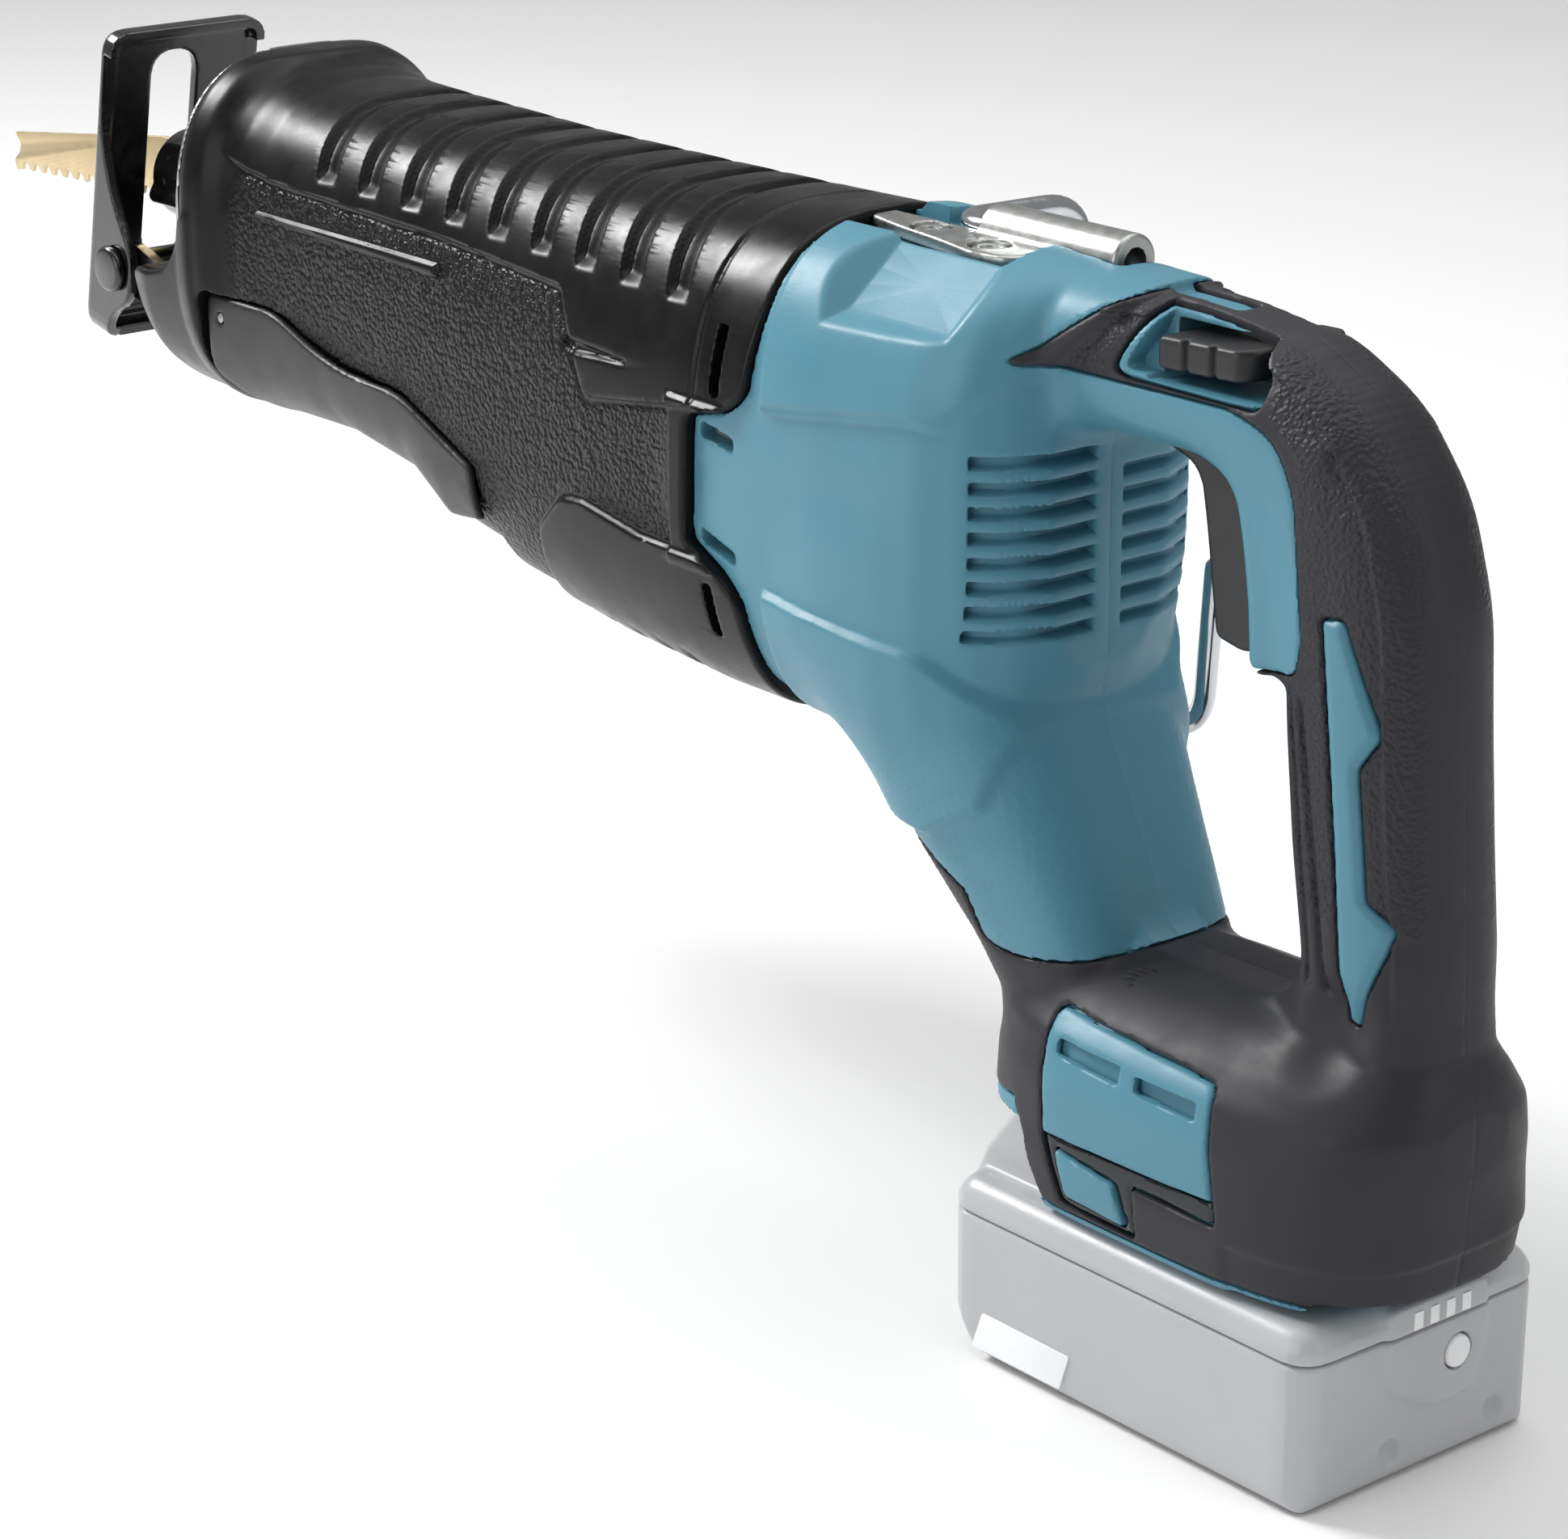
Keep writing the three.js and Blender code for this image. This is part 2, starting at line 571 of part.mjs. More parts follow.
function bootShell() {
  const reach = union(
    box(-BIG, BOOT_REAR, -BIG, BIG, -BIG, BIG),
    box(-BIG, FLAP_REAR, -BIG, BIG, UPPER_FLAP_Z, BIG),
    box(-BIG, FLAP_REAR - 5, -BIG, BIG, -BIG, LOWER_FLAP_Z),
  );
  const flapSlots = union(
    box(-135.5, -132.3, -BIG, BIG, 208.5, 223), box(-139.5, -136.3, -BIG, BIG, 150, 163),
  );
  const bodyNose = barrel(grown(bodyForm, GAP), BODY_SQUARE);
  return cut(
    union(barrel(bootForm, BOOT_SQUARE).intersect(reach), frontLip()),
    gearcaseRoom, bodyNose.intersect(box(-146.4, BIG, -BIG, BIG, -BIG, BIG)), flapSlots,
    guardMouth, armRoom, plungerBore,
    leverSweep().subtract(barrel(grown(leverForm, -3.2), BOOT_SQUARE)),
    rod('y', 1.9, -BIG, BIG, LEVER_PIVOT.x, LEVER_PIVOT.z, 12),
  );
}

piece(saw, 'front_boot', largest(bootShell()), bootRubber);

// A metal plate closes the front of the gear case, inside the flange.
piece(saw, 'front_plate', cut(endPlate(frontPlateOutline, FLANGE_X + 1.2, FLANGE_X + 5.4), plungerBore),
  aluminium);

// ---------------------------------------------------------------- plunger, clamp and blade
// At rest the plunger is at the forward end of its stroke.
const plungerGroup = groupAt(CRANK_X - CRANK_RADIUS, 0, AXIS_Z);
const PLUNGER_RADIUS = 7;
const YOKE_Y = 5.6;
const yoke = cut(
  box(-9.5, 9.5, YOKE_Y, 11.6, -25, 25),
  box(-5.3, 5.3, YOKE_Y - 1, 13, -20.6, 20.6),
);
piece(plungerGroup, 'slider_yoke', union(yoke, box(-18, -9, -6, 11.6, -6.5, 6.5)), steel);
piece(plungerGroup, 'plunger', rod('x', PLUNGER_RADIUS, -281, -18.3), steel);
const clampCore = cut(
  turned([[0, -285.6], [5, -285.6], [5, -281.3], [9.4, -281.3], [9.4, -252], [7.6, -252], [7.6, -281.01],
    [0, -281.01]], 'x'),
  box(-290, -281.01, -0.9, 0.9, -10.4, 8.6),
);
piece(plungerGroup, 'clamp_core', largest(clampCore), steel);

const sleeveGroup = groupAt(0, 0, 0, plungerGroup);
const SLEEVE_RADIUS = 12.6;
const sleeveShape = cut(
  union(
    turned([[0, -287.4], [11.2, -287.4], [SLEEVE_RADIUS, -285.6], [SLEEVE_RADIUS, -255],
      [11.4, -253], [0, -253]], 'x', 20),
    rod('x', 2.2, -287, -268, -11.8, -4.6, 12),
  ),
  rod('x', 9.8, -300, -250, 0, 0, 20),
);
piece(sleeveGroup, 'clamp_sleeve', largest(sleeveShape), blackSteel);

// The blade tapers towards its tip, and its teeth point down.
const TOOTH_PITCH = 4.2;
function bladeOutline() {
  const points = [[-285.9, 8.2], [-300, 8.2], [-376, -3.2], [-381.5, -1.6], [-378, -5.2], [-382, -10]];
  const teeth = 18;
  for (let i = 0; i < teeth; i++) {
    const x = -379 + i * TOOTH_PITCH;
    const low = -13 + i * 0.2;
    points.push([x, low], [x + 1.2, low + 2.4], [x + 3, low + 2.2]);
  }
  points.push([-300.5, -9.6], [-285.9, -9.6]);
  return points;
}
piece(plungerGroup, 'blade', sidePlate(bladeOutline(), -0.6, 0.6), bladeSteel);

// Bushes and the seal that guide the plunger.
const ringAt = (outer, inner, from, to, z = AXIS_Z) => cut(
  rod('x', outer, from, to, 0, z, 20), rod('x', inner, from - 1, to + 1, 0, z, 20),
);
piece(saw, 'plunger_seal', ringAt(13.1, PLUNGER_RADIUS + GAP, -349.5, -345), rubber);
piece(saw, 'front_bush', ringAt(13.1, PLUNGER_RADIUS + GAP, -342, -318), copper);
piece(saw, 'rear_bush', ringAt(13.1, PLUNGER_RADIUS + GAP, -222, -200), copper);

// ---------------------------------------------------------------- crank gear, along Y
const crankGroup = groupAt(CRANK_X, 0, AXIS_Z);
function toothed(teeth, root, tip) {
  const points = [];
  for (let i = 0; i < teeth; i++) {
    [[0, root], [0.3, root], [0.45, tip], [0.85, tip]].forEach(([part, radius]) => {
      const angle = ((i + part) / teeth) * Math.PI * 2;
      points.push([radius * Math.cos(angle), radius * Math.sin(angle)]);
    });
  }
  return points;
}
const GEAR_TEETH = 27;
const PINION_TEETH = 6;
const gearDisc = cut(sidePlate(toothed(GEAR_TEETH, 26, 28.4), -13.6, -7.6), rod('y', 6.3, -20, 0));
const pinHole = rod('y', 4.3, -20, 0, -CRANK_RADIUS, 0);
piece(crankGroup, 'crank_gear', cut(gearDisc, pinHole), steel);
piece(crankGroup, 'crank_shaft', rod('y', 6, -28, -7.6), steel);
piece(crankGroup, 'crank_pin', rod('y', 4, -13.6, 5.2, -CRANK_RADIUS, 0), steel);
const bearing = cut(rod('y', 11.1, BEARING_Y, -20, CRANK_X, AXIS_Z, 20),
  rod('y', 6.3, BEARING_Y - 1, -19, CRANK_X, AXIS_Z, 20));
piece(saw, 'crank_bearing', bearing, steel);

// ---------------------------------------------------------------- motor, along its leaning axis
const motorFrame = groupAt(CRANK_X, 0, AXIS_Z);
motorFrame.rotation.y = -MOTOR_LEAN;
const rotorGroup = groupAt(0, 0, 0, motorFrame);
const ring = (outer, inner, from, to, sides = 28) => cut(
  rod('z', outer, -to, -from, 0, 0, sides), rod('z', inner, -to - 1, -from + 1, 0, 0, sides),
);
function pinionShape() {
  const geometry = new THREE.ExtrudeGeometry(outline(toothed(PINION_TEETH, 3.6, 5)), {
    depth: 7, bevelEnabled: false,
  });
  return union(solid(geometry.translate(0, 0, -37.6)), rod('z', 3.6, -112, -30.7, 0, 0, 16));
}
piece(rotorGroup, 'pinion_shaft', pinionShape(), steel);
const magnets = cut(ring(11.5, 3.9, 60, 92), ...[0, 1, 2, 3].map((i) => {
  const slot = new THREE.BoxGeometry(1.2, 4, 40).translate(0, 11.5, -76).rotateZ((i * Math.PI) / 2);
  return solid(slot);
}));
piece(rotorGroup, 'rotor', magnets, steel);
function fanShape() {
  const vanes = [];
  for (let i = 0; i < 9; i++) {
    const vane = new THREE.BoxGeometry(12, 1.4, 4.6).rotateZ(0.5).translate(13, 0, -51.7);
    vanes.push(solid(vane.rotateZ((i / 9) * Math.PI * 2)));
  }
  return union(ring(20.5, 3.9, 49, 50.6), ring(7.5, 3.9, 49, 55), ...vanes);
}
piece(rotorGroup, 'cooling_fan', fanShape(), darkPlastic);
const statorSlots = [];
for (let i = 0; i < 6; i++) {
  const slot = new THREE.BoxGeometry(4, 3, 34).translate(0, 13, -76).rotateZ((i / 6) * Math.PI * 2);
  statorSlots.push(solid(slot));
}
piece(motorFrame, 'stator', cut(ring(22, 12.2, 58, 95), ...statorSlots), copper);
piece(motorFrame, 'upper_motor_bearing', ring(10.5, 3.9, 39.2, 46.4), steel);
piece(motorFrame, 'lower_motor_bearing', ring(8, 3.9, 103, 108.4), steel);

// ---------------------------------------------------------------- shoe
const armOutline = [
  [-425.6, 193, 5], [-414, 194.4, 3], [-400, 190, 4], [-300, 190], [-290, 182, 3],
  [-296, 175, 2], [-404, 175, 5], [-414, 179.4, 4], [-425.6, 180.6, 5],
];
const ARM_HALF = 21.6;
const armShape = cut(
  sidePlate(armOutline, -ARM_HALF, ARM_HALF),
  box(-BIG, -285, -ARM_HALF + 3, ARM_HALF - 3, 178.4, BIG),
  rod('y', 4.3, -30, 30, SHOE_PIVOT.x, SHOE_PIVOT.z),
);
piece(saw, 'shoe_arm', largest(armShape), blackSteel);
const rivetBody = union(
  rod('y', 4, -25.8, 25.8, SHOE_PIVOT.x, SHOE_PIVOT.z),
  rod('y', 6.6, -27.8, -25.8, SHOE_PIVOT.x, SHOE_PIVOT.z),
  rod('y', 6.6, 25.8, 27.8, SHOE_PIVOT.x, SHOE_PIVOT.z),
);
piece(saw, 'shoe_rivet', rivetBody, steel);

// The shoe plate is modelled upright round the rivet and leans with its group.
const shoeGroup = groupAt(SHOE_PIVOT.x, 0, SHOE_PIVOT.z);
shoeGroup.rotation.y = SHOE_TILT;
const SHOE_HALF = 25.3;
const SHOE_FRONT = -14;
const SHOE_LOW = -22.5;
const SHEET = 3;
const shoeFace = cut(
  endPlate(
    [[-SHOE_HALF, SHOE_LOW, 6], [-SHOE_HALF, 65, 6], [SHOE_HALF, 65, 6], [SHOE_HALF, SHOE_LOW, 6]],
    SHOE_FRONT, SHOE_FRONT + SHEET,
  ),
  endPlate([[-7, -3, 5], [-7, 57, 6.5], [7, 57, 6.5], [7, -3, 5]], -20, 10),
);
const earOutline = [
  [SHOE_FRONT, 36], [SHOE_FRONT + 2.9, 34], [0, 15, 5], [8.6, 6, 5], [8.6, -8, 6], [0, -11, 4],
  [-4, SHOE_LOW + 2.5], [SHOE_FRONT, SHOE_LOW + 2.5],
];
const ears = union(
  sidePlate(earOutline, -SHOE_HALF, -SHOE_HALF + SHEET),
  sidePlate(earOutline, SHOE_HALF - SHEET, SHOE_HALF),
);
const lips = union(
  box(SHOE_FRONT, SHOE_FRONT + 10, -SHOE_HALF + 6, SHOE_HALF - 6, SHOE_LOW, SHOE_LOW + 2.8),
  box(SHOE_FRONT, SHOE_FRONT + 6, -SHOE_HALF + 6, SHOE_HALF - 6, 62.2, 65),
);
piece(
  shoeGroup, 'shoe_plate',
  cut(union(shoeFace, ears, lips), rod('y', 4.3, -30, 30)), blackSteel,
);

// ---------------------------------------------------------------- release lever
const leverBand = cut(
  barrel(leverForm, BOOT_SQUARE),
  barrel(grown(leverForm, -2.2), BOOT_SQUARE),
);
const leverBody = cut(
  leverBand.intersect(sidePlate(leverOutline, -BIG, BIG)),
  rod('y', 1.9, -BIG, BIG, LEVER_PIVOT.x, LEVER_PIVOT.z, 12),
);
piece(saw, 'release_lever', largest(leverBody), darkPlastic);
const leverPin = (from, to) => rod('y', 1.6, from, to, LEVER_PIVOT.x, LEVER_PIVOT.z, 12);
piece(saw, 'left_lever_pin', leverPin(-38.2, -32.2), steel);
piece(saw, 'right_lever_pin', leverPin(32.2, 38.2), steel);

// ---------------------------------------------------------------- trigger, switch and lock-off lever
const triggerOutline = [
  [-26, 218.5, 1], [-21, 214.6], [-11.4, 211.6, 4], [-9, 200, 4], [-7.2, 187, 4], [-5.2, 175.6, 2],
  [3, 174, 1.5], [9, 176, 2], [12.6, 196, 3], [8, 213, 4], [-4, 219.6, 2], [-20, 221, 2],
];
piece(
  saw, 'trigger',
  cut(
    sidePlate(triggerOutline, -TRIGGER_HALF, TRIGGER_HALF),
    rod('y', 2, -10, 10, TRIGGER_PIVOT.x, TRIGGER_PIVOT.z, 12),
  ),
  darkPlastic,
);
piece(saw, 'switch_body', box(18, 33, -8.4, 8.4, 182, 214), darkPlastic);
const lockRocker = sidePlate([[-17.5, 240.6, 1.5], [8.8, 241, 1.5], [8.8, 234, 1.5], [-17.5, 232.8, 1.5]],
  -16.2, 16.2, 2);
const thumbGrooves = [-9.3, -1.2].map((x) => union(
  box(x, x + 0.9, -20, -15, 225, 245), box(x, x + 0.9, 15, 20, 225, 245),
));
piece(saw, 'lock_off_lever', cut(lockRocker, ...thumbGrooves), darkPlastic);

// ---------------------------------------------------------------- rafter hook
const PLATE_Z = 244.2;
const PLATE_TOP = 247.2;
const TUBE_RADIUS = 6.3;
const WIRE_RADIUS = 2.7;
const BOLTS = [[-103, -3], [-80, -6.5]];
const plateOutline = [
  [-121.6, -5, 2], [-108, -8.2, 4], [-93, -10.6, 4], [-77, -14.4, 4], [-68, -12.6, 3], [-64.5, -3, 2],
  [-66, 4, 1],
  [-112, 6, 2], [-121.6, 5, 3],
];
const hookBracket = union(
  cut(
    topPlate(plateOutline, PLATE_Z, PLATE_TOP),
    ...BOLTS.map(([x, y]) => rod('z', 4.9, PLATE_Z + 0.9, PLATE_TOP + 1, x, y)),
  ),
  rod('x', TUBE_RADIUS, -89, -45, HOOK_AXIS.y, HOOK_AXIS.z),
);
const wireRoom = rod('x', WIRE_RADIUS + 0.5, -200, -40, HOOK_AXIS.y, HOOK_AXIS.z, 16);
piece(
  saw, 'hook_bracket',
  largest(cut(hookBracket, wireRoom, box(-130, -89.3, 2.2, 20, PLATE_Z - 1, 260))), aluminium,
);
BOLTS.forEach(([x, y], i) => {
  const bolt = cut(
    rod('z', 4.3, PLATE_Z + 1.2, PLATE_TOP - 0.3, x, y),
    rod('z', 2.3, PLATE_Z + 1.8, PLATE_TOP + 1, x, y, 6),
  );
  piece(saw, 'hook_bolt_' + (i + 1), bolt, steel);
});

// The hook's wire leaves the barrel forwards, comes down the right side and turns up behind.
const hookGroup = groupAt(0, HOOK_AXIS.y, HOOK_AXIS.z);
const SIDE_Y = 39.6;
const wirePath = new THREE.CurvePath();
const wirePoints = [
  [-52, 0, 0, 0], [-104, 0, 0, 9], [-105, SIDE_Y, -1, 12], [-104, SIDE_Y, -119, 11], [-61,
  SIDE_Y, -119, 11],
  [-58, SIDE_Y, -76, 0],
];
function addWire() {
  const corner = (i) => new THREE.Vector3(...wirePoints[i].slice(0, 3));
  let from = corner(0);
  for (let i = 1; i < wirePoints.length - 1; i++) {
    const here = corner(i);
    const radius = wirePoints[i][3];
    const before = here.clone().add(corner(i - 1).sub(here).setLength(radius));
    const after = here.clone().add(corner(i + 1).sub(here).setLength(radius));
    wirePath.add(new THREE.LineCurve3(from, before));
    wirePath.add(new THREE.QuadraticBezierCurve3(before, here, after));
    from = after;
  }
  wirePath.add(new THREE.LineCurve3(from, corner(wirePoints.length - 1)));
}
addWire();
const wireSection = new THREE.Shape();
wireSection.absarc(0, 0, WIRE_RADIUS, 0, Math.PI * 2);
const wireGeometry = new THREE.ExtrudeGeometry(wireSection, {
  steps: 44, curveSegments: 5, extrudePath: wirePath,
});
piece(hookGroup, 'rafter_hook', solid(wireGeometry), chrome);

// ---------------------------------------------------------------- foot electronics
piece(saw, 'control_board', box(-35, 25, -20, 20, 68, 81), board);
piece(saw, 'terminal_block', box(28.9, 38.9, -19, 19, 48.6, 62.8), darkPlastic);
const blades = TERMINALS_Y.map((y) => box(16, 27.9, y - 0.5, y + 0.5, 51, 59));
piece(saw, 'tool_terminals', union(box(27.2, 28.5, -14, 14, 50.5, 59.5), ...blades), copper);

// ---------------------------------------------------------------- battery
const batteryGroup = groupAt(0, 0, 0);
const HALF_LENGTH = BATTERY_LENGTH / 2;
const HALF_WIDTH = BATTERY_WIDTH / 2;
const BATTERY_SQUARE = 9;
const GAUGE = { y: 9, z: 26.5 }; // charge check button
const lowerForm = upright([
  [0, 0, HALF_LENGTH - 4.5, HALF_WIDTH - 3],
  [1.4, 0, HALF_LENGTH - 2.2, HALF_WIDTH - 1.2],
  [4, 0, HALF_LENGTH - 1.2, HALF_WIDTH - 0.6],
  [15, 0, HALF_LENGTH - 0.3, HALF_WIDTH - 0.3],
  [BATTERY_SPLIT - GAP / 2, 0, HALF_LENGTH, HALF_WIDTH],
]);
const upperForm = upright([
  [BATTERY_SPLIT + GAP / 2, 0, HALF_LENGTH, HALF_WIDTH],
  [37.5, 0, HALF_LENGTH - 0.6, HALF_WIDTH - 0.8],
  [42.8, 0, HALF_LENGTH - 4, HALF_WIDTH - 4],
]);
const CELL_RADIUS = 9;
const cellRows = [0, 1].map((row) => {
  const z = 12.6 + row * 18.3;
  const cells = [-2, -1, 0, 1, 2].map((i) => rod('y', CELL_RADIUS, -32.5, 32.5, i * 18.6, z, 12));
  const web = box(-39, 39, -30, 30, z - 2, z + 2);
  return union(web, ...cells);
});
// The front of the case is cut away at a slant underneath.
const frontSlant = sidePlate([[-58, 15], [-44, -1], [70, -1], [70, 60], [-58, 60]], -BIG, BIG);
const lowerHollow = box(-HALF_LENGTH + 8.5, HALF_LENGTH - 8.5, -33.5, 33.5, 3.2, 60)
  .intersect(frontSlant.translate(2.6, 0, 0));
const upperHollow = union(box(-48, 48, -33.5, 33.5, 30, 40.6), box(-42, 24.4, -22, 22, 30, 59));
const gaugeHousing = endPlate(
  [[-16, 24, 3], [-13, 39, 3], [16, 39, 3], [18, 30, 3], [15, 20, 3], [3, 19, 3]], HALF_LENGTH - 3,
  HALF_LENGTH + 1.3,
);
const lowerZone = box(-BIG, BIG, -BIG, BIG, -BIG, BATTERY_SPLIT - GAP / 2);
const upperZone = box(-BIG, BIG, -BIG, BIG, BATTERY_SPLIT + GAP / 2, BIG);
const gaugeRoom = rod('x', 4.2, HALF_LENGTH - 2.4, 70, GAUGE.y, GAUGE.z);
piece(
  batteryGroup, 'battery_lower_case',
  cut(
    union(barrel(lowerForm, BATTERY_SQUARE, 20).intersect(frontSlant), gaugeHousing.intersect(lowerZone)),
    lowerHollow, gaugeRoom,
  ),
  palePlastic,
);

// The raised block carries the rails, and its front slopes down to the release button.
const blockOutline = [[-56, 40], [-54.5, 46, 3], [-43.5, 60.6, 3], [-36, BATTERY_TOP, 2],
  [26.6, BATTERY_TOP, 1], [26.6, 40]];
const railCuts = [-1, 1].map((side) => {
  const y = side * RAIL_HALF;
  return box(-34, 60, y - 4, y + 4, RAIL_Z - 0.5, RAIL_Z + 4);
});
const terminalSlots = TERMINALS_Y.map((y) => box(15, 28, y - 1, y + 1, 50, 60));
const block = cut(sidePlate(blockOutline, -RAIL_HALF, RAIL_HALF), ...railCuts);
const buttonRoom = union(box(-60, -49.5, -13.4, 13.4, 36.5, 64), box(-49.7, -42.4, -13.4, 13.4, 50.2, 64));
piece(
  batteryGroup, 'battery_upper_case',
  largest(cut(
    union(barrel(upperForm, BATTERY_SQUARE, 20), block, gaugeHousing.intersect(upperZone)),
    upperHollow, buttonRoom, ...terminalSlots,
  )), palePlastic,
);
piece(batteryGroup, 'battery_cells_lower', cellRows[0], teal);
piece(batteryGroup, 'battery_cells_upper', cellRows[1], teal);
const buttonShape = sidePlate([[-56.4, 40, 1], [-55.2, 47.6, 2], [-49.9, 53.5, 1], [-49.9, 40]], -13, 13);
piece(batteryGroup, 'battery_release_button', buttonShape, darkPlastic);
piece(batteryGroup, 'battery_terminals', box(8, 14.6, -15, 15, 50, 58.6), copper);
piece(batteryGroup, 'gauge_button', rod('x', 3.8, HALF_LENGTH - 0.8, HALF_LENGTH + 1.8, GAUGE.y,
  GAUGE.z, 16), darkPlastic);

export default saw;
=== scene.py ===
"""Cordless reciprocating saw: the looks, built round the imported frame.

Shapes are worked out in millimetres, +Z up, blade towards -X, left side towards -Y.
Moulded pieces are signed-distance fields sampled on a block of points and meshed.
"""
import json
import math

import bmesh
import bpy
import numpy as np
from mathutils import Matrix, Vector


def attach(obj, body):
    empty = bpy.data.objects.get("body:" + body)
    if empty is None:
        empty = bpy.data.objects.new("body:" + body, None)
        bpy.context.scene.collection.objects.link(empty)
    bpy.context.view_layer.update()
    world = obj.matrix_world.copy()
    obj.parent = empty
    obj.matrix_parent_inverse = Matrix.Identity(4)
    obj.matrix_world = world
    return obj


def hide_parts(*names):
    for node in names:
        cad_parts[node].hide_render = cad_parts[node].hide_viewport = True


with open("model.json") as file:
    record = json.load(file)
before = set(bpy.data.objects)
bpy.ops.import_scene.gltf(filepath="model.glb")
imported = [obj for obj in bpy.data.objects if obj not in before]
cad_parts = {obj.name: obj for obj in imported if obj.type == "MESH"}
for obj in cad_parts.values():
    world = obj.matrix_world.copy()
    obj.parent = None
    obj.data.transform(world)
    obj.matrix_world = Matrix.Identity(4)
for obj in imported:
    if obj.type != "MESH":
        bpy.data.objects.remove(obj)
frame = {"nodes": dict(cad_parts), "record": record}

least, most = np.minimum, np.maximum
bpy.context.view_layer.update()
MM = 0.001
STEP = 0.65  # spacing of the sample points of the big mouldings
FINE = 0.45  # and of the small ones
AXIS_Z = 211.0  # height of the blade and plunger axis
SHOE_PIVOT = (-419.0, 187.0)
SHOE_TILT = math.radians(11.2)
LEVER_PIVOT = (-345.0, 188.0)
HOOK_AXIS = (5.5, 247.4)
BATTERY_HALF = (56.5, 37.5)
BATTERY_SPLIT = 35.0
SHARP = math.radians(38)  # edges sharper than this are drawn hard


# ---- fields
class Block:
    """A regular block of sample points between two corners."""

    def __init__(self, low, high, step):
        axes = [np.arange(a, b + step, step, dtype=np.float32) for a, b in zip(low, high)]
        self.low, self.step = np.array(low, np.float32), step
        self.x, self.y, self.z = axes[0][:, None, None], axes[1][None, :, None], axes[2][None, None, :]


def rounded(points, arc=5):
    """The corners of an outline of (a, b) or (a, b, radius), each radius as a short curve."""
    made = []
    count = len(points)
    for i, corner in enumerate(points):
        here = Vector(corner[:2])
        radius = corner[2] if len(corner) > 2 else 0
        if not radius:
            made.append(here)
            continue
        before = (Vector(points[i - 1][:2]) - here).normalized() * radius
        after = (Vector(points[(i + 1) % count][:2]) - here).normalized() * radius
        for j in range(arc + 1):
            t = j / arc
            made.append(here + before * (1 - t) ** 2 + after * t ** 2)
    return made


def outline(points, a, b):
    """Signed distance to a closed outline in the plane of a and b, negative inside."""
    corners = rounded(points)
    near = np.float32(1e12)
    inside = False
    for i, (ax, ay) in enumerate(corners):
        bx, by = corners[(i + 1) % len(corners)]
        ex, ey = bx - ax, by - ay
        length = ex * ex + ey * ey
        if length < 1e-9:
            continue
        along = np.clip(((a - ax) * ex + (b - ay) * ey) / length, 0, 1)
        near = least(near, (a - ax - ex * along) ** 2 + (b - ay - ey * along) ** 2)
        if ay != by:
            crosses = ((ay <= b) != (by <= b)) & (a < ex * (b - ay) / ey + ax)
            inside = inside ^ crosses
    return (np.where(inside, -1, 1) * np.sqrt(near)).astype(np.float32)


def blend_min(a, b, width):
    mix = np.clip(0.5 + 0.5 * (b - a) / width, 0, 1)
    return b + (a - b) * mix - width * mix * (1 - mix)


def blend_max(a, b, width):
    return -blend_min(-a, -b, width)


def ramp(value, start, end):
    """0 at start, 1 at end, eased at both."""
    t = np.clip((value - start) / (end - start), 0, 1)
    return t * t * (3 - 2 * t)


def eased(at, stations, values, blur):
    """Values interpolated between stations, with the corners of the curve softened."""
    fine = np.arange(stations[0] - 4 * blur, stations[-1] + 4 * blur, 0.5)
    kernel = np.hanning(int(4 * blur) + 3)
    padded = np.pad(np.interp(fine, stations, values), len(kernel), mode="edge")
    soft = np.convolve(padded, kernel / kernel.sum(), "same")[len(kernel):-len(kernel)]
    return np.interp(at, fine, soft).astype(np.float32)


def section(across, up, wide, tall, squareness):
    """Distance to a superellipse, along the ray from its middle."""
    across, up = np.abs(across), np.abs(up)
    size = ((across / wide) ** squareness + (up / tall) ** squareness) ** (1 / squareness)
    reach = np.sqrt(across ** 2 + up ** 2)
    return reach - reach / most(size, 1e-3)


def level(block, rows, squareness, blur=5, ends=2.0):
    """A barrel along X, from rows of (x, underside, top, half width)."""
    rows = np.array(rows)
    x = block.x.ravel()
    low, high, wide = (eased(x, rows[:, 0], rows[:, i], blur)[:, None, None] for i in (1, 2, 3))
    shape = section(block.y, block.z - (low + high) / 2, wide, (high - low) / 2, squareness)
    ends_at = most(rows[0, 0] - block.x, block.x - rows[-1, 0])
    return blend_max(shape, ends_at, ends)


def upright(block, rows, squareness, blur=4, ends=2.0):
    """A barrel along Z, from rows of (z, middle x, half length, half width)."""
    rows = np.array(rows)
    z = block.z.ravel()
    middle, long, wide = (eased(z, rows[:, 0], rows[:, i], blur)[None, None, :] for i in (1, 2, 3))
    shape = section(block.y, block.x - middle, wide, long, squareness)
    ends_at = most(rows[0, 0] - block.z, block.z - rows[-1, 0])
    return blend_max(shape, ends_at, ends)


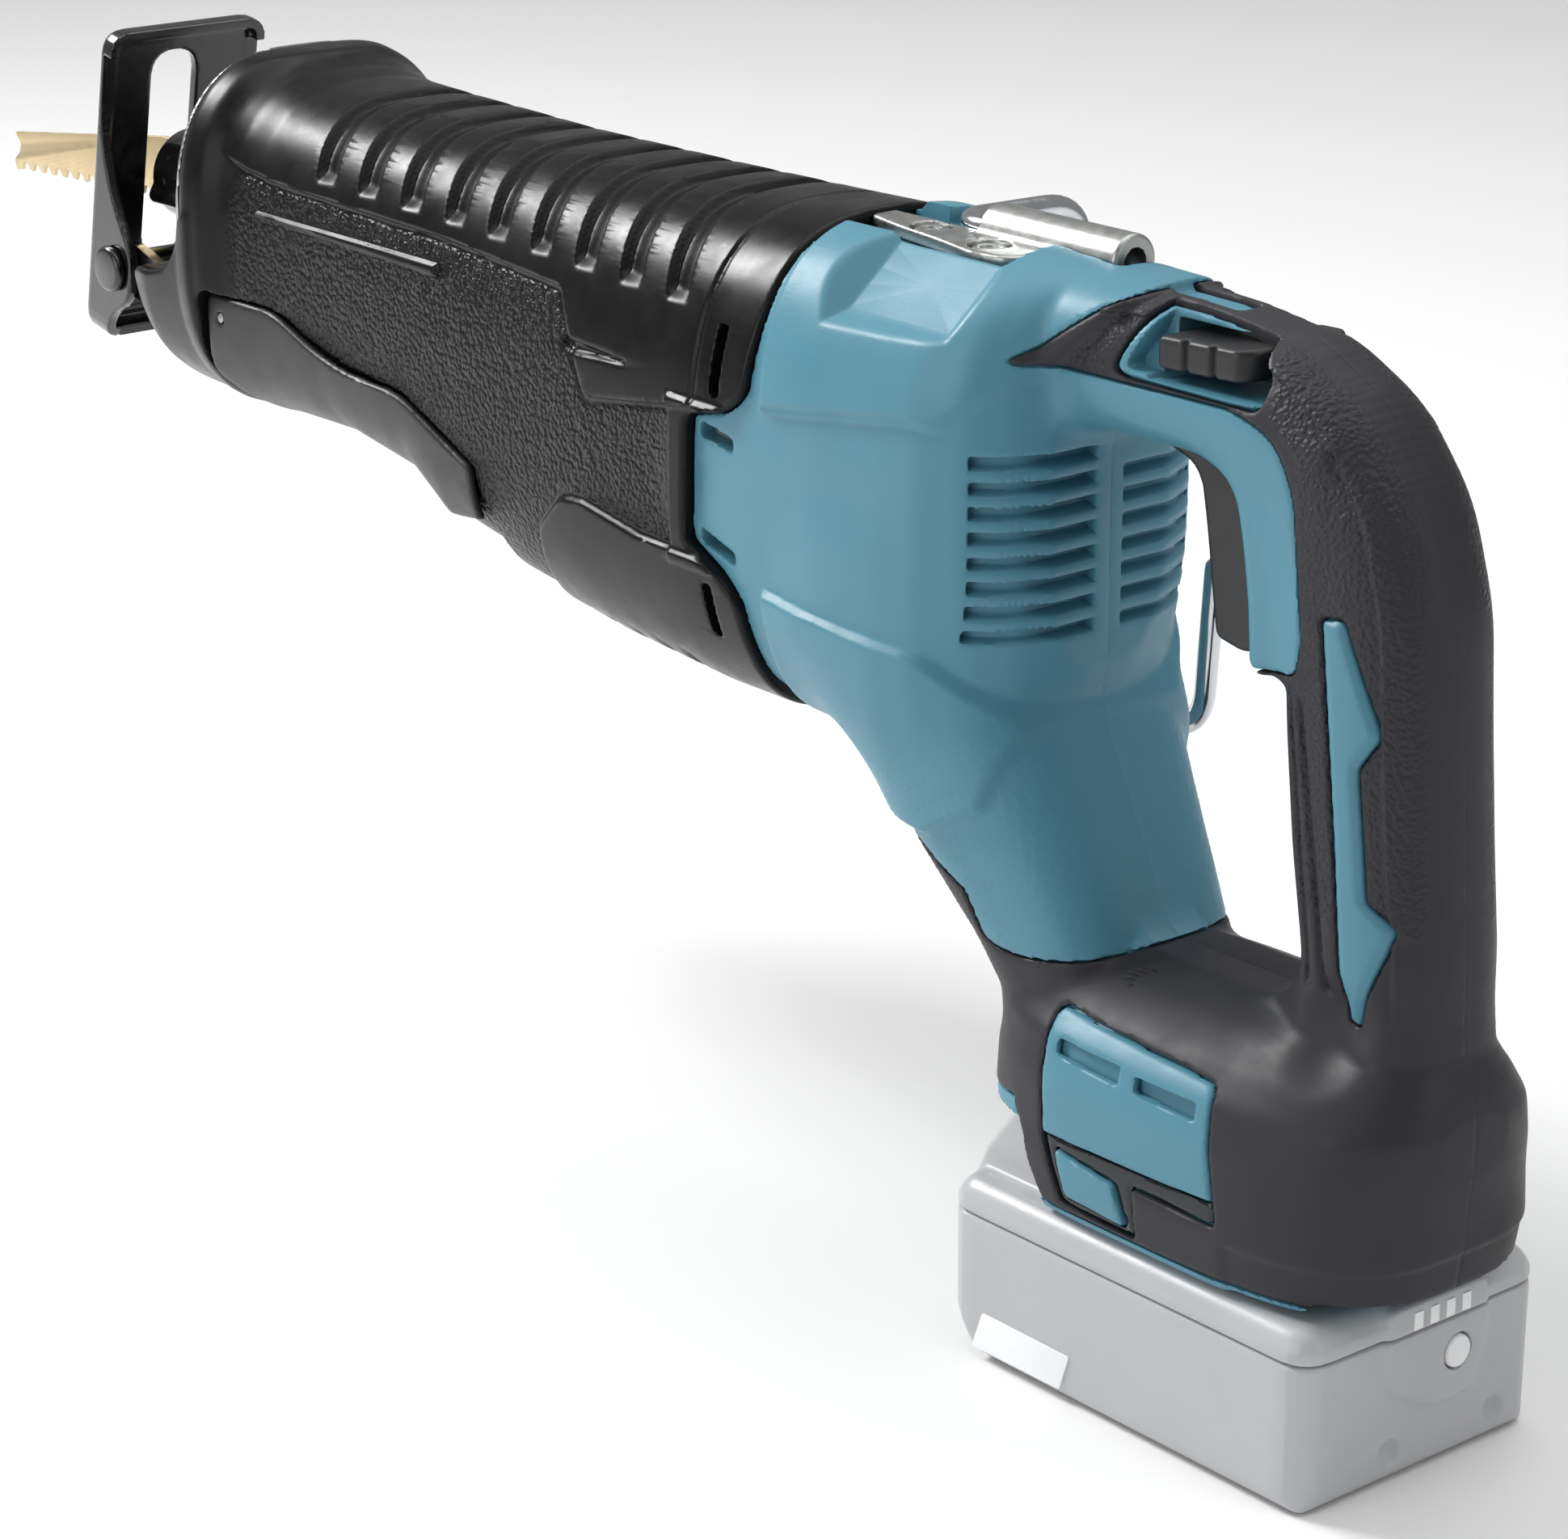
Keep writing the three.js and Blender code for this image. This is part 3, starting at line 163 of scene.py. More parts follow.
def along_path(block, rows, squareness, blur=8):
    """A barrel along a line in the side view, from rows of (x, z, half depth, half width).

    Gives the field, and how far each side-view point lies outside (+) or inside (-) the line.
    """
    rows = np.array(rows)
    run = np.concatenate([[0], np.cumsum(np.hypot(*np.diff(rows[:, :2], axis=0).T))])
    at = np.arange(0, run[-1] + 1, 1.5)
    cx, cz, deep, wide = (eased(at, run, rows[:, i], blur) for i in range(4))
    way = np.stack([np.gradient(cx), np.gradient(cz)])
    way /= np.hypot(*way)
    near = np.full(np.broadcast_shapes(block.x.shape, block.z.shape), 1e9, np.float32)
    depth, width, side = (np.zeros_like(near) for _ in range(3))
    for i in range(len(at)):
        dx, dz = block.x - cx[i], block.z - cz[i]
        gap = dx * dx + dz * dz
        closer = gap < near
        near = np.where(closer, gap, near)
        depth = np.where(closer, deep[i], depth)
        width = np.where(closer, wide[i], width)
        side = np.where(closer, dz * way[0, i] - dx * way[1, i], side)
    return section(block.y, np.sqrt(near), width, depth, squareness), side


def brick(block, x, y, z, soft=0.0):
    """A box between pairs of limits, with its edges rounded."""
    sides = []
    for value, (low, high) in zip((block.x, block.y, block.z), (x, y, z)):
        sides.append(np.abs(value - (low + high) / 2) - (high - low) / 2 + soft)
    outside = sum(most(side, 0) ** 2 for side in sides)
    return np.sqrt(outside) + least(most(most(sides[0], sides[1]), sides[2]), 0) - soft


def rod(block, axis, radius, a, b, low=-1e4, high=1e4):
    """A round bar along an axis, through (a, b) of the other two."""
    ways = {"x": (block.x, block.y, block.z), "y": (block.y, block.x, block.z)}
    run, first, second = ways.get(axis, (block.z, block.x, block.y))
    return most(np.hypot(first - a, second - b) - radius, most(low - run, run - high))


def cut(shape, *tools):
    for tool in tools:
        shape = most(shape, -tool)
    return shape


# ---- meshes from fields
CORNERS = np.array([(i, j, k) for i in (0, 1) for j in (0, 1) for k in (0, 1)])
EDGES = [(a, b) for a in range(8) for b in range(a + 1, 8) if np.abs(CORNERS[a] - CORNERS[b]).sum() == 1]


def skin(field, block):
    """The surface where a field is zero: points in millimetres, and four-sided faces."""
    field = np.pad(field, 1, constant_values=1.0)
    inside = field < 0
    cells = tuple(n - 1 for n in field.shape)
    held = np.zeros(cells, np.int8)
    for i, j, k in CORNERS:
        held += inside[i:i + cells[0], j:j + cells[1], k:k + cells[2]]
    here = np.argwhere((held > 0) & (held < 8))
    values = np.stack([field[tuple((here + corner).T)] for corner in CORNERS], 1)
    total, count = np.zeros((len(here), 3)), np.zeros((len(here), 1))
    for a, b in EDGES:
        first, second = values[:, a], values[:, b]
        crossed = (first < 0) != (second < 0)
        t = np.where(crossed, first / np.where(crossed, first - second, 1), 0)[:, None]
        total += np.where(crossed[:, None], CORNERS[a] + t * (CORNERS[b] - CORNERS[a]), 0)
        count += crossed[:, None]
    points = (here + total / count - 1) * block.step + block.low
    number = np.full(cells, -1, np.int64)
    number[tuple(here.T)] = np.arange(len(here))
    faces = []
    for axis in range(3):
        first, second = (axis + 1) % 3, (axis + 2) % 3
        ahead = np.moveaxis(inside, axis, 0)
        change = np.argwhere(np.moveaxis(ahead[1:] != ahead[:-1], 0, axis))
        change = change[(change[:, first] > 0) & (change[:, second] > 0)]
        change = change[(change[:, first] < cells[first]) & (change[:, second] < cells[second])]
        ring = []
        for u, v in ((-1, -1), (0, -1), (0, 0), (-1, 0)):
            cell = change.copy()
            cell[:, first] += u
            cell[:, second] += v
            ring.append(number[tuple(cell.T)])
        quads = np.stack(ring, 1)
        leaving = inside[tuple(change.T)]
        quads[~leaving] = quads[~leaving][:, ::-1]
        faces.append(quads)
    return points, np.concatenate(faces)


def to_mesh(name, points, faces):
    mesh = bpy.data.meshes.new(name)
    mesh.vertices.add(len(points))
    mesh.vertices.foreach_set("co", (np.asarray(points, np.float32) * MM).ravel())
    mesh.loops.add(faces.size)
    mesh.loops.foreach_set("vertex_index", faces.astype(np.int32).ravel())
    mesh.polygons.add(len(faces))
    mesh.polygons.foreach_set("loop_start", np.arange(len(faces), dtype=np.int32) * faces.shape[1])
    mesh.update(calc_edges=True)
    mesh.validate()
    return mesh


def largest_island(mesh):
    """Removes every loose bit but the biggest."""
    shape = bmesh.new()
    shape.from_mesh(mesh)
    seen = set()
    islands = []
    for start in shape.verts:
        if start.index in seen:
            continue
        seen.add(start.index)
        island, front = [start], [start]
        while front:
            vert = front.pop()
            for edge in vert.link_edges:
                other = edge.other_vert(vert)
                if other.index not in seen:
                    seen.add(other.index)
                    island.append(other)
                    front.append(other)
        islands.append(island)
    islands.sort(key=len)
    loose = [vert for island in islands[:-1] for vert in island]
    if loose:
        bmesh.ops.delete(shape, geom=loose, context="VERTS")
        shape.to_mesh(mesh)
    shape.free()


def finished(obj, kind, **settings):
    """Applies a modifier."""
    modifier = obj.modifiers.new(kind.lower(), kind)
    for key, value in settings.items():
        setattr(modifier, key, value)
    graph = bpy.context.evaluated_depsgraph_get()
    mesh = bpy.data.meshes.new_from_object(obj.evaluated_get(graph))
    obj.modifiers.clear()
    old = obj.data
    obj.data = mesh
    bpy.data.meshes.remove(old)


def placed(obj, node, slot, body, look=None, turn=None):
    """Gives a piece its finish and its CAD body, and hides the node that it stands for, if any."""
    mesh = obj.data
    if turn is not None:
        mesh.transform(turn)
    mesh.materials.clear()
    mesh.materials.append(look or FINISHES[slot])
    mesh.shade_smooth()
    mesh.set_sharp_from_angle(angle=SHARP)
    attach(obj, body)
    if node:
        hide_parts(node)
    return obj


def link(name, mesh):
    obj = bpy.data.objects.new(name, mesh)
    bpy.context.scene.collection.objects.link(obj)
    return obj


def moulding(name, field, block, slot, body="body", mirror=False, faces=60000, turn=None):
    """A piece meshed from a field, thinned to a number of faces."""
    points, quads = skin(field, block)
    if mirror:
        points[:, 1] *= -1
        quads = quads[:, ::-1]
    obj = link(name, to_mesh(name, points, quads))
    largest_island(obj.data)
    if len(obj.data.polygons) * 2 > faces:
        finished(obj, "DECIMATE", ratio=faces / (2 * len(obj.data.polygons)))
    return placed(obj, name, slot, body, turn=turn)


def from_builder(name, shape, matrix):
    """An object from a shape built in millimetres, turned into place."""
    bmesh.ops.transform(shape, matrix=matrix, verts=shape.verts)
    bmesh.ops.recalc_face_normals(shape, faces=shape.faces)
    bmesh.ops.scale(shape, vec=(MM, MM, MM), verts=shape.verts)
    mesh = bpy.data.meshes.new(name)
    shape.to_mesh(mesh)
    shape.free()
    return link(name, mesh)


def bevelled(obj, width, segments, sharpest):
    """Rounds the edges that are sharper than an angle in degrees."""
    finished(obj, "BEVEL", width=width * MM, segments=segments, limit_method="ANGLE",
             angle_limit=math.radians(sharpest), harden_normals=False)


def plate(name, points, low, high, slot, body, bevel, plane="side", look=None, extra=False):
    """An outline with a thickness and rounded edges, in the side or end view."""
    shape = bmesh.new()
    ring = [shape.verts.new((a, b, 0)) for a, b in rounded(points)]
    face = shape.faces.new(ring)
    bmesh.ops.recalc_face_normals(shape, faces=[face])
    if face.normal.z < 0:
        face.normal_flip()
    grown = bmesh.ops.extrude_face_region(shape, geom=[face])
    top = [item for item in grown["geom"] if isinstance(item, bmesh.types.BMVert)]
    bmesh.ops.translate(shape, verts=top, vec=(0, 0, high - low))
    bmesh.ops.translate(shape, verts=shape.verts, vec=(0, 0, low))
    views = {
        "side": Matrix(((1, 0, 0), (0, 0, 1), (0, 1, 0))),
        "end": Matrix(((0, 0, 1), (1, 0, 0), (0, 1, 0))),
    }
    obj = from_builder(name, shape, views[plane].to_4x4())
    bevelled(obj, bevel, 3, 32)
    return placed(obj, None if extra else name, slot, body, look)


def turned(name, profile, axis, at, slot, body="body", sides=64, look=None):
    """A turned piece from (radius, station) points, each corner of it softened a little."""
    shape = bmesh.new()
    rings = []
    for radius, station in profile:
        if radius == 0:
            rings.append([shape.verts.new((0, 0, station))])
            continue
        ring = []
        for i in range(sides):
            angle = 2 * math.pi * i / sides
            ring.append(shape.verts.new((radius * math.cos(angle), radius * math.sin(angle), station)))
        rings.append(ring)
    for low, high in zip(rings, rings[1:]):
        for i in range(sides):
            j = (i + 1) % sides
            corners = [low[i % len(low)], low[j % len(low)], high[j % len(high)], high[i % len(high)]]
            shape.faces.new(list(dict.fromkeys(corners)))
    for ring in (rings[0], rings[-1]):
        if len(ring) > 1:
            shape.faces.new(ring)
    ways = {"x": Matrix.Rotation(math.pi / 2, 4, "Y"), "y": Matrix.Rotation(-math.pi / 2, 4, "X"),
            "z": Matrix.Identity(4)}
    obj = from_builder(name, shape, Matrix.Translation(at) @ ways[axis])
    bevelled(obj, 0.35, 2, 35)
    return placed(obj, name, slot, body, look)


def mark(obj, name, mask):
    """Stores a number from 0 to 1 on each point, from the point's place in millimetres."""
    mesh = obj.data
    co = np.zeros(len(mesh.vertices) * 3, np.float32)
    mesh.vertices.foreach_get("co", co)
    x, y, z = (co.reshape(-1, 3) / MM).T
    attribute = mesh.attributes.new(name, "FLOAT", "POINT")
    attribute.data.foreach_set("value", np.asarray(mask(x, y, z), np.float32))


# ---- materials
def shade(colour):
    """A linear colour from its 0-255 screen values."""
    return tuple((c / 255 / 12.92 if c <= 10 else ((c / 255 + 0.055) / 1.055) ** 2.4) for c in colour) + (1,)


class Finish:
    """A material with its texture nodes, in metres of the row frame."""

    def __init__(self, name, colour, roughness, metallic=0.0, **sockets):
        self.material = bpy.data.materials.new(name)
        self.material.use_nodes = True
        self.tree = self.material.node_tree
        self.shader = self.tree.nodes["Principled BSDF"]
        self.shader.inputs["Metallic"].default_value = metallic
        for key, value in sockets.items():
            self.shader.inputs[key.replace("_", " ")].default_value = value
        self.place = self.tree.nodes.new("ShaderNodeTexCoord").outputs["Object"]
        self.height = None
        self.colour, self.roughness = shade(colour), roughness

    def node(self, kind, inputs=(), **settings):
        made = self.tree.nodes.new("ShaderNode" + kind)
        for key, value in settings.items():
            setattr(made, key, value)
        for key, value in dict(inputs).items():
            if isinstance(value, bpy.types.NodeSocket):
                self.tree.links.new(value, made.inputs[key])
            else:
                made.inputs[key].default_value = value
        return made

    def noise(self, scale, detail=3.0, roughness=0.5, stretch=None):
        where = self.place
        if stretch:
            where = self.node("Mapping", {"Vector": where, "Scale": stretch}).outputs[0]
        return self.node("TexNoise", {"Vector": where, "Scale": scale, "Detail": detail,
                                      "Roughness": roughness}).outputs["Fac"]

    def maths(self, operation, a, b):
        return self.node("Math", {0: a, 1: b}, operation=operation).outputs[0]

    def span(self, value, low, high, start=0.3, end=0.7):
        return self.node("MapRange", {"Value": value, "From Min": start, "From Max": end,
                                      "To Min": low, "To Max": high}).outputs[0]

    def paint(self, variation, patchy, scale=45, wear=1.5):
        """Colour and roughness that vary a little over the surface, paler along worn edges."""
        patches = self.noise(scale, 4, 0.6)
        darker = tuple(c * (1 - variation) for c in self.colour[:3]) + (1,)
        lighter = tuple(min(c * (1 + variation) + 0.002, 1) for c in self.colour[:3]) + (1,)
        mixed = self.node("Mix", {"Factor": patches, "A": darker, "B": lighter}, data_type="RGBA")
        edge = self.node("NewGeometry").outputs["Pointiness"]
        worn = self.span(edge, 0.0, 0.22, 0.53, 0.62)
        pale = tuple(min(c * wear + 0.02 * (wear - 1), 1) for c in self.colour[:3]) + (1,)
        final = self.node("Mix", {"Factor": worn, "A": mixed.outputs["Result"], "B": pale},
                          data_type="RGBA")
        self.tree.links.new(final.outputs["Result"], self.shader.inputs["Base Color"])
        rough = self.span(self.noise(scale * 2.3, 5, 0.6), self.roughness - patchy, self.roughness + patchy)
        self.tree.links.new(rough, self.shader.inputs["Roughness"])
        return self

    def relief(self, height, distance, strength=1.0):
        sockets = {"Height": height, "Distance": distance, "Strength": strength}
        if self.height:
            sockets["Normal"] = self.height
        self.height = self.node("Bump", sockets).outputs["Normal"]
        self.tree.links.new(self.height, self.shader.inputs["Normal"])
        return self

    def grain(self, scale, distance, attribute):
        """Moulded leather grain where the attribute is 1: raised islands between soft valleys."""
        bend = self.noise(scale * 0.8, 2)
        bend = self.node("CombineXYZ", {0: bend, 1: bend, 2: bend}).outputs[0]
        shift = self.node("VectorMath", {0: bend, "Scale": 0.6 / scale}, operation="SCALE").outputs[0]
        warped = self.node("VectorMath", {0: self.place, 1: shift}, operation="ADD").outputs[0]
        cells = self.node("TexVoronoi", {"Vector": warped, "Scale": scale,
                                         "Randomness": 1.0}, feature="SMOOTH_F1")
        lumps = self.span(cells.outputs["Distance"], 1.0, 0.0, 0.15, 0.75)
        fine = self.maths("MULTIPLY", self.noise(scale * 2.2, 3), 0.35)
        height = self.maths("ADD", lumps, fine)
        share = self.node("Attribute", attribute_name=attribute).outputs["Fac"]
        return self.relief(self.maths("MULTIPLY", height, share), distance)


def plastic(name, colour, roughness, bump=0.00004, **sockets):
    finish = Finish(name, colour, roughness, **sockets).paint(0.05, 0.05)
    return finish.relief(finish.noise(1900, 2), bump, 0.5).material


def metal(name, colour, roughness, stretch=(1, 1, 1), bump=0.00003, scale=900):
    finish = Finish(name, colour, roughness, 1.0).paint(0.08, 0.07, 120)
    return finish.relief(finish.noise(scale, 4, 0.6, stretch), bump, 0.6).material


WHITE = plastic("white_marking", (240, 241, 242), 0.5)
rubber = Finish("grip_rubber", (46, 45, 49), 0.46, Specular_IOR_Level=0.25).paint(0.07, 0.06)
boot_rubber = Finish("boot_rubber", (12, 12, 13), 0.30, Specular_IOR_Level=0.20).paint(0.07, 0.07)
black_steel = Finish("black_steel", (9, 9, 10), 0.26, Coat_Weight=0.5, Coat_Roughness=0.12)
black_steel = black_steel.paint(0.1, 0.05, 45, 1.2)
FINISHES = {
    "teal_plastic": plastic("teal_plastic", (78, 133, 152), 0.42, Specular_IOR_Level=0.4),
    "grip_rubber": rubber.grain(950, 0.00034, "grain").material,
    "boot_rubber": boot_rubber.grain(820, 0.00045, "grain").material,
    "dark_plastic": plastic("dark_plastic", (24, 24, 27), 0.42),
    "gloss_plastic": plastic("gloss_plastic", (14, 20, 26), 0.16, 0.00001),
    "pale_plastic": plastic("pale_plastic", (180, 181, 183), 0.34),
    "cast_aluminium": metal("cast_aluminium", (176, 178, 175), 0.36, bump=0.00006, scale=1500),
    "steel": metal("ground_steel", (150, 152, 155), 0.34, (1, 8, 8)),
    "black_steel": black_steel.relief(black_steel.noise(500, 3), 0.00003, 0.5).material,
    "chrome": metal("chrome_wire", (205, 208, 212), 0.14, bump=0.000008),
    "blade_steel": metal("blade_steel", (205, 186, 148), 0.42, (1, 1, 14)),
    "copper": metal("copper_parts", (176, 106, 58), 0.4),
    "circuit_board": plastic("circuit_board", (31, 90, 58), 0.5),
}
for part in frame["record"]["subparts"]:
    carried = frame["nodes"][part["node"]]
    carried.data.materials.clear()
    carried.data.materials.append(FINISHES[part["material_slot"]])


# ---- body, neck, handle and foot
BODY = [
    (-150, 132, 246.5, 38.5), (-122, 133, 247, 40), (-100, 132, 247, 40.5), (-80, 128, 246.5, 40),
    (-68, 134, 245.5, 38.8), (-57, 143, 244, 34.5), (-50, 151, 242.5, 27), (-46.5, 158, 241, 17),
]
NECK = [(-92, 171, 30, 38), (-67.4, 130.4, 25.6, 32.6), (-49, 104.4, 20.8, 28), (-33, 77.5, 17.5, 25)]
HANDLE = [
    (-72, 229.6, 16.2, 18.5), (-40, 229.6, 16.2, 18), (-10, 229.2, 15.7, 17.5), (8, 226.5, 16, 17.5),
    (22, 218, 17.5, 17.5), (31, 205, 19, 17.5), (35.5, 188, 20, 17.5), (37, 165, 20, 17.5),
    (39.5, 140, 19.5, 17.5), (42.8, 116, 18, 18), (43.5, 98, 19, 19), (43, 84, 20.5, 20),
]
FOOT = [
    (43.3, 3, 60.6, 35.6), (56, 3.5, 61.8, 37), (75, 3.5, 61, 36.2), (84.5, 4.5, 59, 33.6),
    (91.5, 6, 53.5, 27), (97, 8, 45, 18.5), (100.5, 9, 36, 10),
]
BOOT_REGION = [
    (-420, 300), (-121, 300), (-121.5, 232), (-124, 209.5, 4), (-131, 205, 2), (-144, 202, 2),
    (-145, 172, 2), (-134, 166.5, 2), (-127.5, 161, 4), (-127, 148), (-131, 100), (-420, 100),
]
UPPER_PANEL = [
    (-119.5, 207, 2), (-71, 213.5, 3), (-62.5, 212.5, 3), (-40, 232, 4), (-22, 249), (-18, 275),
    (-119.5, 275),
]
LOWER_PANEL = [(-119.5, 166.5, 2), (-66, 163, 5), (-46, 148, 3), (-52, 128), (-70, 118), (-119.5, 118)]
RUBBER_REGION = [
    (-53, 229.3, 2), (-45, 235), (-33, 243.5), (-18, 251), (-16, 275), (100, 275), (100, 46.2), (-10, 45.4),
    (-27, 45.2), (-31, 50), (-38, 66), (-70, 62), (-105, 100), (-82, 117), (-60.6, 107.5), (-56.4, 97, 3),
    (-47, 95.5, 4), (-26, 98.4, 3), (-14, 104), (-4, 114), (8, 126), (8, 173), (15, 174.6, 1), (26, 176, 3),
    (27.4, 184), (24.5, 214, 5), (18.5, 224.5, 5), (6, 228.4, 4), (-50, 228.4),
]
LOCK_FRAME = [
    (-28.6, 231.4, 2), (-21, 246), (4, 246), (9.6, 241.6), (14.2, 235), (13.4, 229.4, 3), (-26, 229.8, 2),
]
LOCK_POCKET = [
    (-25, 232.6, 1), (-18.6, 246), (1, 246), (6.8, 241.4), (12, 234.4), (11.2, 231.4, 2), (-23.6, 231.6, 1),
]
ARROW = [
    (33.6, 190.6, 1.5), (39.6, 191.4, 1.5), (49.6, 168.6, 1.5), (44.8, 160.8, 1), (48.4, 133, 1),
    (55.6, 128.2, 1.5), (47.4, 104.6, 1), (44.2, 105.2, 1),
]
FOOT_PANEL = [(-29.5, 89.4, 3), (21.9, 87.4, 3), (26.5, 63.4, 1), (-26.4, 62.2)]
FOOT_STRIP = [
    (-26.4, 62.2), (26.5, 63.4), (27.4, 58.2, 1.5), (2.6, 58.8, 1), (3.4, 47, 1), (-20.2, 47.2, 2),
]
FOOT_BADGE = [(-21.9, 59.9, 1), (-2.7, 57.6, 1), (0.8, 48.6, 1), (-18.4, 49.2, 1)]
GUARD = [
    (-36, 222), (-22, 219.5, 3), (-8, 219, 4), (0.5, 215.2, 4), (4.9, 209.5, 4), (7.4, 199, 4),
    (9.3, 187, 3), (10.2, 174.2, 2), (13, 173, 1), (26, 175.5, 2), (31, 200), (30, 224), (-10, 226),
    (-34, 226),
]
VENT_PITCH = 5.6
SCREWS = [(-63, 227, 20), (38.5, 150, 9), (49, 80, 22)]

BODY_LIMITS = (-151, -42.5, 40), (66.5, -0.12, 252)
half = Block(*BODY_LIMITS, STEP)
side = (half.x, half.z)
handle_form, handle_side = along_path(half, HANDLE, 2.6)
neck_form, _ = along_path(half, NECK, 3.0)
body_form = level(half, BODY, 3.0, 4, 3.0)
foot_form = upright(half, FOOT, 3.4, 3, 2.5)
guard_form = blend_max(outline(GUARD, *side), np.abs(half.y) - 15.2, 3.0)
whole = blend_min(blend_min(body_form, neck_form, 9.0), blend_min(handle_form, foot_form, 15.0), 7.0)
whole = blend_min(whole, guard_form, 4.0)
del neck_form, body_form, guard_form

panel_up = outline(UPPER_PANEL, *side)
panel_low = outline(LOWER_PANEL, *side)
relief = 2.5 * ramp(-panel_up, -0.6, 3.0) + 2.6 * ramp(-panel_low, -0.6, 2.4)
relief = relief - 0.55 * ramp(-half.z, -55.4, -54.4) * ramp(half.x, 28, 32)
whole = whole - relief
SHOULDER_TOP = (15, 247.2)  # where the flat shoulder starts, in the end view
SHOULDER_RUN, SHOULDER_DROP = 23.5, 20
facet_slope = math.atan2(SHOULDER_DROP, SHOULDER_RUN)
facet = (-half.y - SHOULDER_TOP[0]) * math.sin(facet_slope)
facet = facet + (half.z - SHOULDER_TOP[1]) * math.cos(facet_slope)
facet_edge = most(most(-105 - half.x, half.x + 59), 226.8 - half.z)
facet = facet - 0.75 * most(facet_edge + 6.5, 0)
whole = blend_max(whole, facet, 1.2)
dimple = np.sqrt((half.x - 43) ** 2 + (half.y + 26.5) ** 2 + (half.z - 105) ** 2) - 11.5
whole = blend_max(whole, -dimple, 5.0)

rubber_zone = outline(RUBBER_REGION, *side)
lock_frame = outline(LOCK_FRAME, *side)
off_top = 6.5 - np.abs(half.y)
lock_frame = most(lock_frame, off_top)
arrow = outline(ARROW, *side)
foot_panel, foot_strip, foot_badge = (
    outline(points, *side) for points in (FOOT_PANEL, FOOT_STRIP, FOOT_BADGE)
)
foot_plates = least(foot_panel, foot_strip)
top_window = brick(half, (-34, -6), (-3.4, 3.4), (240, 260), 1.2)
rubber_zone = most(rubber_zone, -least(least(lock_frame, arrow), foot_plates))
rubber_zone = most(rubber_zone, -top_window)
plated = least(foot_plates, arrow)
under_rubber = least(rubber_zone - 0.1, most(plated, 10 - np.abs(half.y)) - 0.1)
under_rubber = most(under_rubber, -(whole + 2.2))

boot_region = outline(BOOT_REGION, *side)
battery_room = least(
    brick(half, (-200, 39.3), (-28.4, 28.4), (20, 63.4), 1),
    brick(half, (-200, 62.5), (-30, 30), (20, 47.2), 1),
)
front_rim = outline([(-200, 0), (-27, 0), (-27, 43.3, 2), (-35, 62, 2), (-200, 62)], *side)
trigger_room = brick(half, (-36, 17), (-9.8, 9.8), (168, 222), 1)
SEATS = [((-126.5, -64), (-15.6, 8), (244.0, 300), 1), ((-91, -43), (-1.6, 12.6), (240.8, 300), 1)]
TRENCH = [((-109, -90.5), (-1, 17), (244.3, 300), 1.5), ((-109, -99.5), (5, 60), (244.3, 300), 1.5)]
lock_pocket = most(outline(LOCK_POCKET, *side), most(8.4 - np.abs(half.y), -(whole + 5.5)))
lock_pocket = least(lock_pocket, brick(half, (-19, 13.8), (-60, 60), (230.6, 242.6), 1))


def vents(count):
    """Louvres round the rear corner of the motor: slots that slant inwards and upwards."""
    slots = np.float32(1e3)
    depth = -whole
    for i in range(count):
        z = 167.6 + i * VENT_PITCH
        start = -69.5 - 1.2 * math.sin(0.9 * i)
        level_z = half.z - z - 0.34 * np.clip(depth, 0, 4)
        slot = most(np.abs(level_z) - 1.55, start - half.x - 0.8 * level_z)
        slot = most(slot, most(half.y + 4, most(-33 - half.y, half.x + 38)))
        slots = least(slots, slot)
    floor_depth = 1.4 + 2.6 * ramp(half.x, -71, -60)
    return most(slots, -(whole + floor_depth))


side_slots = least(
    outline([(-141.5, 197.4, 1), (-141.5, 200.8, 1), (-129, 199, 1), (-129, 195.6, 1)], *side),
    outline([(-141.5, 172.2, 1), (-141.5, 175.6, 1), (-129, 171.8, 1), (-129, 168.6, 1)], *side),
)
side_slots = most(side_slots, 30 - np.abs(half.y))
screw_rooms = [rod(half, "y", 3.9, x, z, -100, -seat) for x, z, seat in SCREWS]
common_cuts = (
    under_rubber, boot_region - 0.3, battery_room, front_rim, trigger_room, lock_pocket, side_slots,
)


def housing(name, mirror):
    placed_side = Block(*BODY_LIMITS, STEP)
    placed_side.y = placed_side.y * (-1 if mirror else 1)
    rooms = [brick(placed_side, *sizes) for sizes in SEATS + (TRENCH if mirror else [])]
    if mirror:
        rooms += screw_rooms
    shell = cut(whole, *common_cuts, *rooms, vents(7 if mirror else 8))
    groove = most(np.abs(lock_frame + 0.2) - 0.45, -(whole + 0.8))
    return moulding(name, cut(shell, groove), half, "teal_plastic", mirror=mirror, faces=150000)


housing("left_housing", False)
housing("right_housing", True)

GRAINED_FLANK = [
    (-44, 229), (-26, 247), (22, 249), (44, 236), (52, 212), (54.5, 196), (57, 165), (60, 126), (40, 127),
    (20, 128), (22, 178), (29, 186), (25, 222), (14, 230),
]


def grip_grain(x, y, z):
    """Where the handle's rubber is grained: its flanks, but not its back band or its foot."""
    flank = outline(GRAINED_FLANK, x, z)
    window = outline(LOCK_FRAME, x, z)
    return ramp(-flank, -0.5, 1.0) * ramp(window, 1.5, 3.0) * ramp(np.abs(y), 5.0, 9.0)


